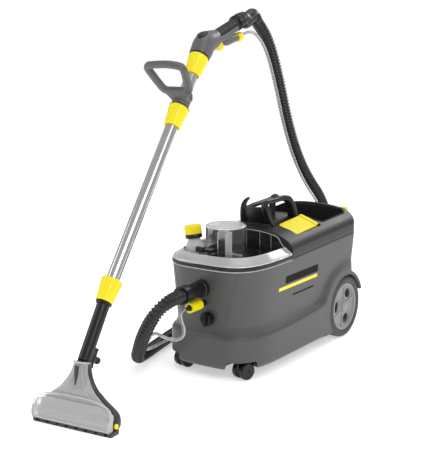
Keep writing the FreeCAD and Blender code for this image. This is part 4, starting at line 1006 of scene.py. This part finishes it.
def make_lock_rings():
    """Black ring at the wide end of two nuts, and one on the pipe below the third."""
    wide = [(17.9, 0), (27.0, 0), (28.2, 0.5), (28.2, 1.4), (17.9, 1.6)]
    narrow = [(17.1, 0), (20.8, 0), (21.4, 0.8), (21.4, 5.0), (17.1, 5.0)]
    reach = NUT_LENGTH / 2
    for name, profile, base, way in (
            ("middle_lock_ring", wide, along_tube(MIDDLE_JOINT + reach + 0.3), TUBE_WAY),
            ("upper_lock_ring", wide, along_tube(UPPER_JOINT + reach + 0.2), TUBE_WAY),
            ("lower_lock_ring", narrow, along_tube(-6) - PIPE_WAY * reach, PIPE_WAY)):
        make_piece(name, *lathe(profile, base, way, closed=True), WAND, BLACK, "wand", slot="part_black")


def upright(stations, power, count, x=0.0):
    """Form through level sections (height, half width, half depth, depth), smoothed between them."""
    rings = [rounded_ring((x, y, z), ACROSS, DEEP, a, b, power, count) for z, a, b,
             y in smooth_line(stations, 4)]
    return skin(rings)


def mirrored(stations):
    """Bar stations from one end to the middle, carried on to the other end."""
    return stations + [(-station[0], *station[1:]) for station in stations[-2::-1]]


def make_fan():
    """Dark back shell of the nozzle, the clear fan in front of it, its ribs, and a dark piece in its throat
    that paints the shade there.
    """
    back = [(12.6, 117.5, 19, 40), (20, 119.5, 21, 41.5), (34, 119, 21, 43), (48, 113, 18, 44),
            (60, 99, 15, 44.5),
            (74, 78, 13.5, 45.5), (90, 58, 13, 47.5), (108, 40, 14, 51), (126, 28, 16, 55),
            (142, 21.5, 17.5, 58.5),
            (154, 19.4, 18.6, 61), (160, 19, 19, 62)]
    rings = [rounded_ring((0, y, z), ACROSS, DEEP, a, b, 3.0 if a > 60 else 2.2, 72)
             for z, a, b, y in smooth_line(back, 4)]
    make_piece("nozzle_back_shell", *skin(rings), WAND, NOZZLE_DARK, "wand", ["nozzle_body"], "housing_grey")
    fan = [(66, 96, 5, 23.5), (80, 75, 5.5, 26), (96, 54, 6, 30), (114, 38, 7, 35), (132, 27, 8, 40.5),
           (148, 21.5, 9.5, 46), (158, 20, 10.5, 49.5), (161, 20, 10.5, 50.5)]
    make_piece("nozzle_clear_fan", *upright(fan, 2.6, 72), WAND, FAN, "wand", ["nozzle_window"],
               "clear_plastic")
    ribs = [bar([(share * a, y - b - 0.4, z, 1.0, 0.9) for z, a, b, y in fan[:-1]], 6, 2.0, 10)
            for share in (-0.55, -0.18, 0.22, 0.6)]
    make_piece("nozzle_fan_ribs", *join(ribs), WAND, SKIRT, "wand", slot="clear_plastic")
    # Painted shade: a dark piece near the top of the fan's throat, where shade falls; it stands for no part.
    throat = [(154, 9, 8, 41.5), (140, 7.5, 6, 37.5), (126, 6, 4.5, 33.5), (112, 3.5, 3, 29.5),
              (104, 2, 1.5, 28)]
    make_piece("nozzle_throat_painted_shade", *upright(throat, 2.4, 40, -3), WAND, NOZZLE_DARK, "wand",
               slot="housing_grey")


def make_roll():
    """Clear roll over the lip, its lines and bead, the neck's rim and the end plugs."""
    section = smooth_line([(-2.5, 12.6), (-5.8, 18), (-7.0, 26), (-6.2, 34), (-3.0, 40), (1.5, 44), (4.0, 47),
                           (8.0, 57), (12.0, 66), (17.0, 68), (19.5, 60), (18, 44), (15, 28), (15.5, 12.6)],
                           3,
                          closed=True)
    ends = ((-118.4, 5), (-118, 1.5), (-116.5, 0))
    middle = tuple((lerp(-116, 116, index / 24), 0) for index in range(25))
    rings = []
    for x, shrink in ends + middle + tuple((-x, shrink) for x, shrink in ends[::-1]):
        lean = 1.0 - 0.22 * ease((abs(x) - 84.0) / 34.0)
        rings.append([Vector((x, lerp(y, 8, shrink / 20),
                              12.6 + (lerp(z, 34, shrink / 20) - 12.6) * (lean if z > 46 else 1)))
                      for y, z in section])
    make_piece("nozzle_clear_roll", *skin(rings), WAND, ROLL, "wand", slot="clear_plastic")
    lines = []
    for height, push in ((21, -7.4), (41.5, -3.2)):
        half_line = [(-115, push + 1, height, 1.2, 1.2), (-100, push, height, 1.3, 1.3),
                     (0, push, height, 1.3, 1.3)]
        lines.append(bar(mirrored(half_line), 4, 2.0, 12))
    bead = [(-118, 3, 40, 2.8, 3.4), (-117, 7, 54, 3, 3.6), (-108, 12, 66, 3.2, 3.8),
            (-88, 15.5, 74, 3.2, 3.8),
            (-50, 18, 79, 3.0, 3.4), (0, 18.5, 80, 3.0, 3.4)]
    lines.append(bar(mirrored(bead), 8, 2.4, 20))
    make_piece("nozzle_bead", *join(lines), WAND, SKIRT, "wand", slot="clear_plastic")
    rim = [(-20.5, 58, 158, 2.4, 2.4), (-20.5, 48, 161, 2.4, 2.4), (-14, 39.5, 163, 2.4, 2.4),
           (0, 37, 163.5, 2.4, 2.4)]
    make_piece("nozzle_neck_rim", *bar(mirrored(rim), 8, 2.2, 20), WAND, SKIRT, "wand", slot="clear_plastic")
    plug = [(0.01, -3), (6.4, -3), (6.8, 0), (6.8, 1.6), (5.4, 2.4), (5.0, 1.6), (0.01, 1.6)]
    for side, word in ((-1, "left"), (1, "right")):
        shape = lathe(plug, (side * 119.6, 27, 22), (side, 0, 0), 40)
        make_piece(word + "_nozzle_plug", *shape, WAND, YELLOW, "wand", slot="yellow")


def make_lip():
    """Lip strip with its row of pits, and dark plates at the back of the pits that paint the shade in them.
    """
    steps = ((1.2, 0.3), (0.2, 1.4), (0, 4), (0, 11), (0.8, 12.2))
    strip = skin([rounded_rectangle(LIP_HALF - s, 2 + s * 0.6, 38 - s * 0.6, 4, z) for s, z in steps])
    block = skin([rounded_rectangle(4.6, -4, 7, 1.2, z) for z in (3.2, 8.8)])
    plate = skin([rounded_rectangle(4.5, 5.2, 6.8, 0.4, z) for z in (3.3, 8.7)])
    pits, cutters = [], []
    for index in range(8):
        shift = Vector((-LIP_HALF + 2 * LIP_HALF * (index + 0.55) / 8.1, 0, 0))
        cutters.append(solid_cutter(*moved(block, shift), WAND))
        pits.append(moved(plate, shift))
    make_piece("nozzle_lip", *strip, WAND, LIP_PLASTIC, "wand", ["lip_strip"], "part_black", cutters=cutters)
    # Painted shade: near-black plates at the back of the pits make them read as dark holes.
    make_piece("nozzle_lip_pit_shades", *join(pits), WAND, RECESS_SHADE, "wand", slot="part_black")


def make_spray_valve():
    """Valve beside the nozzle pipe, with its knob, post and arm."""
    out = Vector((0, 0.83, -0.56))
    valve = PIPE_FOOT + out * 31.5
    body = [(0.01, -8), (6.4, -8), (8.4, -6), (8.6, -2), (7.4, 2), (7.4, 8), (8.8, 10), (9.0, 24), (7.6, 27),
            (7.6, 38), (8.6, 41), (8.6, 43.6), (0.01, 44)]
    knob = [(0.01, 0), (7.4, 0), (7.4, 12), (6.2, 13), (6.2, 15), (8.4, 16), (9.2, 18), (9.2, 24), (8.2, 26),
            (0.01, 26)]
    post = [(0.01, 0), (6, 0), (6, 15), (0.01, 15)]
    arm = valve + PIPE_WAY * 30
    parts = [lathe(body, valve, PIPE_WAY, 48), lathe(knob, valve + PIPE_WAY * 18, out, 40),
             lathe(post, PIPE_FOOT + PIPE_WAY * 36 + out * 17.4, out, 32),
             bar([(*(arm - out * 14), 9, 4), (*arm, 9, 4)], 3, 3.0, 24)]
    make_piece("nozzle_spray_valve", *join(parts), WAND, BLACK, "wand", ["spray_valve"], "part_black",
               crease=45)


make_lid()
make_dome()
make_bottle()
make_badge()
make_nuts()
make_lock_rings()
make_fan()
make_roll()
make_lip()
make_spray_valve()

# ---------------------------------------------------------------- handle and grip

RISE = Vector((0, -0.64, 0.768))
HANDLE_HUB = along_tube(MIDDLE_JOINT + NUT_LENGTH / 2 + 3 + 24)


def on_loop(x, up, half_w, half_t):
    """Bar station of the D handle: across, up its plane, and its half sizes."""
    point = HANDLE_HUB + RISE * up + Vector((x, 0, 0))
    return (*point, half_w, half_t)


def make_d_handle():
    """Collar on the tube, flared web and the bulky D-shaped loop."""
    loop = [(-20, 32, 13, 9), (-42, 38, 12, 9), (-51, 60, 11, 9.5), (-58, 88, 10.5, 10), (-63, 112, 10, 10.5),
            (-60, 123, 9.5, 10.5), (-48, 127, 9, 10.5), (0, 131, 9.5, 10.5), (36, 127, 9.5, 10.5),
            (48, 120, 9.5, 10.5), (49, 106, 10, 10), (45, 80, 10.5, 10), (40, 56, 11, 10), (34, 38, 12, 9),
            (14, 32, 13, 9)]
    front = RISE.cross(ACROSS).normalized()
    web = [(4, 24.6, 22, 0), (14, 27, 19, -1), (24, 36, 14, -2), (33, 43, 11, -3), (40, 44, 9, -4),
           (44, 40, 6, -4)]
    web_rings = [rounded_ring(HANDLE_HUB + RISE * up + ACROSS * shift, ACROSS, front, half_x, half_y, 3.0, 56)
                 for up, half_x, half_y, shift in web]
    collar = [(17.9, -23.6), (23.2, -23.6), (24.2, -22.6), (24.4, -14), (24.6, -4), (24.6, 14), (23.6, 20),
              (22.4, 22.4), (17.9, 22.4), (17.9, 0)]
    parts = [bar([on_loop(*station) for station in loop], 6, 2.4, 28, closed=True, up=front), skin(web_rings),
             lathe(collar, HANDLE_HUB, TUBE_WAY, 72, closed=True)]
    make_piece("d_shaped_handle", *join(parts), WAND, WAND_GREY, "d_handle", ["d_handle"], "housing_grey",
               crease=55)
    lock = [(24.8, 8.0), (26.2, 8.4), (26.6, 9.6), (26.2, 12.0), (24.8, 12.4)]
    make_piece("handle_lock_rib", *lathe(lock, HANDLE_HUB, TUBE_WAY, 72, closed=True), WAND, WAND_GREY,
               "d_handle",
               slot="housing_grey")


GRIP_START = along_tube(UPPER_JOINT + NUT_LENGTH / 2 + 2)
GRIP_WAY = Vector((0, 0.96, 0.28))
GRIP_DROP = Vector((0, 0.28, -0.96))
GRIP_KNEE = GRIP_START + TUBE_WAY * 44


def grip_at(distance, drop=0.0):
    """Point along the grip from its knee, and below its axis."""
    return GRIP_KNEE + GRIP_WAY * distance + GRIP_DROP * drop


def on_grip(distance, drop, half_w, half_t):
    """Bar station along the grip, with its half sizes."""
    return (*grip_at(distance, drop), half_w, half_t)


def on_tube(distance, half_w, half_t, shift=(0, 0, 0)):
    """Bar station of the hood: along the tube from the grip's start, shifted, and its half sizes."""
    return (*(GRIP_START + TUBE_WAY * distance + Vector(shift)), half_w, half_t)


def make_hood():
    """Elbow hood with its seam, dark insert and screws."""
    hood = [on_tube(0.3, 26.5, 26.5), on_tube(3, 27.6, 28.0), on_tube(20, 28.2, 30.5),
            on_tube(38, 28.4, 31.0, GRIP_WAY), on_grip(12, 0, 28.0, 30.0), on_grip(34, 2, 26.0, 28.0),
            on_grip(52, 3, 23.5, 26.0), on_grip(63, 4, 20.6, 23.5), on_grip(66, 4, 18.6, 21.5)]
    lobe = [on_tube(4, 12, 8, (0, 20, -10)), on_tube(12, 20, 13, (0, 21, -9)),
            on_tube(34, 21, 14, (0, 24, -6)),
            on_grip(40, 22, 15, 10), on_grip(56, 22, 12, 7)]
    make_piece("grip_hood", *join([bar(hood, 8, 2.4, 64), bar(lobe, 8, 2.6, 40)]), WAND, WAND_GREY, "wand",
               ["grip_elbow"], "housing_grey", crease=60)
    seam = [on_tube(1.2, 28.0, 28.3), on_tube(2.4, 28.2, 28.6)]
    make_piece("grip_hood_seam", *bar(seam, 1, 2.4, 64), WAND, BLACK, "wand", slot="part_black")
    insert = [on_grip(-20, -26.0, 4, 2.0), on_grip(-12, -27.6, 12.0, 3.2), on_grip(4, -28.6, 14.5, 4.4),
              on_grip(22, -27.4, 11.0, 3.4), on_grip(31, -26.0, 4, 2.0)]
    make_piece("grip_hood_insert", *bar(insert, 8, 2.2, 32), WAND, BLACK, "wand", slot="part_black")
    screw = [(0.01, 1.2), (1.6, 1.2), (1.8, 0.2), (3.2, 0.2), (3.6, 1.4), (4.4, 1.6), (4.8, 0.8), (4.8, -2),
             (0.01, -2)]
    front = Vector((0.52, -0.83, 0.21)).normalized()
    screws = (("front_grip_screw", GRIP_START + TUBE_WAY * 13 + front * 28.6, front),
              ("left_grip_screw_1", GRIP_START + TUBE_WAY * 22 + Vector((-27.2, 6, 0)), -ACROSS),
              ("left_grip_screw_2", grip_at(46, 8) + Vector((-23.2, 0, 0)), -ACROSS))
    for name, base, way in screws:
        make_piece(name, *lathe(screw, base, way, 32), WAND, BLACK, "wand", slot="part_black")


def make_grip():
    """Ribbed bar, lower shell with the spray pod, and the pod's coupling sleeve."""
    profile = [(0.01, 60.0), (16.0, 60.0)]
    for ridge in range(17):
        at = 67.0 + ridge * 6.6
        profile += [(16.9, at), (17.4, at + 0.8), (17.4, at + 4.4), (16.9, at + 5.2), (16.2, at + 5.9)]
    profile += [(17.4, 180.0), (19.6, 180.6), (20.0, 182.0), (19.6, 183.8), (0.01, 184.0)]
    make_piece("grip_bar_ribbed", *lathe(profile, GRIP_KNEE, GRIP_WAY, 56), WAND, BLACK, "wand", ["grip_bar"],
               "part_black", crease=30)
    shell = [on_grip(60, 8.5, 19.2, 13), on_grip(84, 9.5, 18.8, 13), on_grip(120, 10, 18.6, 12.8),
             on_grip(150, 9.5, 18.6, 12.4), on_grip(172, 8, 18.2, 11), on_grip(178, 7, 17, 9.5)]
    pod = [on_grip(96, 22, 9, 6), on_grip(104, 26, 12.5, 10), on_grip(118, 30.5, 13.2, 13.2),
           on_grip(146, 33, 13.2, 14.0), on_grip(162, 35.0, 12.6, 12.5), on_grip(174, 38, 11.6, 11.6),
           on_grip(179, 40.5, 10.5, 10.5), on_grip(181.8, 42, 9, 9)]
    plug = [(0.01, 176), (8, 176), (8, 212), (7, 212.8), (0.01, 212.8)]
    pod_axis = GRIP_KNEE + GRIP_DROP * 43
    parts = [bar(shell, 6, 2.6, 48), bar(pod, 6, 2.8, 40), lathe(plug, pod_axis, GRIP_WAY, 32)]
    make_piece("grip_lower_shell", *join(parts), WAND, WAND_GREY, "wand", ["grip_shell"], "housing_grey",
               crease=60)
    sleeve = [(8.4, 184.2), (12.6, 184.2), (13.4, 185.2), (13.6, 190), (12.6, 191), (12.6, 192.4),
              (13.6, 193.4),
              (13.4, 204), (12.2, 207.6), (8.4, 207.8), (8.4, 196)]
    shape = ribbed(sleeve, pod_axis, GRIP_WAY, 12, 0.9, range(6, 9), 4, 120, closed=True)
    make_piece("pod_coupling_sleeve", *shape, WAND, YELLOW, "pod_coupling", ["pod_coupling"], "yellow")


def make_cuff():
    """Swivel cuff: rings at both ends of a smooth bend down to the hose."""
    to_wand = WAND.inverted() @ MACHINE
    end = to_wand @ Vector(HOSE_ROUTE[-1])
    before = to_wand @ Vector(HOSE_ROUTE[-2])
    down = (end - before).normalized()
    path = [grip_at(184.5), grip_at(205), grip_at(226), grip_at(240, 2), grip_at(250, 12), end + down * 20,
            end + down * 8, end - down * 6]
    widths = (20.6, 21.4, 21.4, 21.6, 21.8, 21.4, 21.2, 20.8)
    parts = [bar([(*point, width, width) for point, width in zip(path, widths)], 8, 2.0, 48)]
    upper = [(20.0, 0), (22.6, 0.2), (23.2, 1.0), (23.2, 3.0), (22.6, 3.8), (20.0, 4.0)]
    lower = [(20.0, 0), (22.0, 0.2), (22.8, 1.0), (22.8, 4.0), (22.0, 4.8), (20.0, 5.0)]
    for distance in (188.0, 196.0, 213.0):
        parts.append(lathe(upper, grip_at(distance), GRIP_WAY, 56, closed=True))
    for distance in (2.0, 12.0):
        parts.append(lathe(lower, end + down * distance, down, 56, closed=True))
    make_piece("cuff_and_bend", *join(parts), WAND, BLACK, "wand", ["swivel_cuff"], "part_black", crease=50)


# ---------------------------------------------------------------- wheels and castors

HUB_RADIUS = 75.0
TYRE_RADIUS = 97.0
WHEEL_X = 154.0
WINDOW_ANGLES = (53, 173, 293)


def spoke(angle):
    """Directions along and across a spoke of the wheel."""
    turn = math.radians(angle)
    return Vector((0, math.cos(turn), math.sin(turn))), Vector((0, -math.sin(turn), math.cos(turn)))


def make_tyre(word, base, inward):
    """Tyre with a bead line and tread grooves."""
    hub, rim = HUB_RADIUS, TYRE_RADIUS
    tread = [(hub, 4.4), (hub + 2, 2.0), (hub + 5, 0.6), (hub + 9, 0.3), (hub + 10, 1.0), (hub + 11, 0.3),
             (rim - 8, 0.8), (rim - 4, 2.6), (rim - 1.4, 6), (rim - 0.3, 9.4)]
    for groove in (12.0, 19.7, 27.4):
        tread += [(rim, groove), (rim - 1.4, groove + 0.6), (rim - 1.4, groove + 2.2), (rim, groove + 2.8)]
    tread += [(rim - 1.4, 36), (rim - 5, 40), (hub + 6, 41.6), (hub, 41.6)]
    make_piece(word + "_tyre_ring", *lathe(tread, base, inward, 128, closed=True), MACHINE, TYRE,
               word + "_wheel",
               [word + "_tyre"], "tyre_grey", crease=30)


def make_hub(word, base, inward):
    """Dished hub with three oval windows, a rib each side of them and a cap."""
    dish = [(8.6, 7.5), (22.5, 7.5), (24, 8.4), (26.5, 10.2), (34, 10.6), (48, 10.2), (59, 9.4), (62.5, 8.6),
            (64.5, 5.2), (66.5, 3.4), (72.5, 2.8), (74.4, 3.6), (74.8, 5), (74.8, 41.0), (66.5, 41.0),
            (66, 15),
            (26, 15), (20, 41), (8.6, 41)]
    cutters, ribs = [], []
    for angle in WINDOW_ANGLES:
        out, across = spoke(angle)
        rings = [rounded_ring(base + inward * depth + out * 46.5, out, across, 14.5, 18.0, 2.2, 40)
                 for depth in (-6.0, 24.0)]
        cutters.append(solid_cutter(*skin(rings)))
        for spread in (-33, 33):
            out = spoke(angle + spread)[0]
            stations = [(*(base + out * reach + inward * depth), 3.2, 1.6)
                        for reach, depth in ((25, 9.4), (32, 9.6), (48, 9.4), (60, 8.6), (65, 6.0))]
            ribs.append(bar(stations, 4, 2.4, 16, up=-inward))
    hub = make_piece(word + "_hub_dish", *lathe(dish, base, inward, 128, closed=True), MACHINE, HUB,
                     word + "_wheel", [word + "_hub"], "hub_grey", crease=30, cutters=cutters)
    round_edges(hub, 0.9, 50)
    make_piece(word + "_hub_ribs", *join(ribs), MACHINE, HUB, word + "_wheel", slot="hub_grey")
    cap = [(0.01, 1.0), (8, 1.2), (14, 1.8), (17.6, 3.2), (19.4, 5.4), (20.4, 8.4), (20.4, 9.0), (0.01, 9.0)]
    make_piece(word + "_hub_cap", *lathe(cap, base, inward), MACHINE, HUB, word + "_wheel", slot="hub_grey")


def make_wheels():
    """Tyre and hub of the two rear wheels."""
    for side, word in ((1, "right"), (-1, "left")):
        base = Vector((side * WHEEL_X, WHEEL_Y, WHEEL_Z))
        inward = -side * ACROSS
        make_tyre(word, base, inward)
        make_hub(word, base, inward)


make_d_handle()
make_hood()
make_grip()
make_cuff()
make_wheels()

# ---------------------------------------------------------------- stage

floor_points = [(-9, -9, 0), (9, -9, 0), (9, 9, 0), (-9, 9, 0)]
floor = make_piece("studio_floor", floor_points, [(0, 1, 2, 3)], Matrix.Identity(4), FLOOR, None)
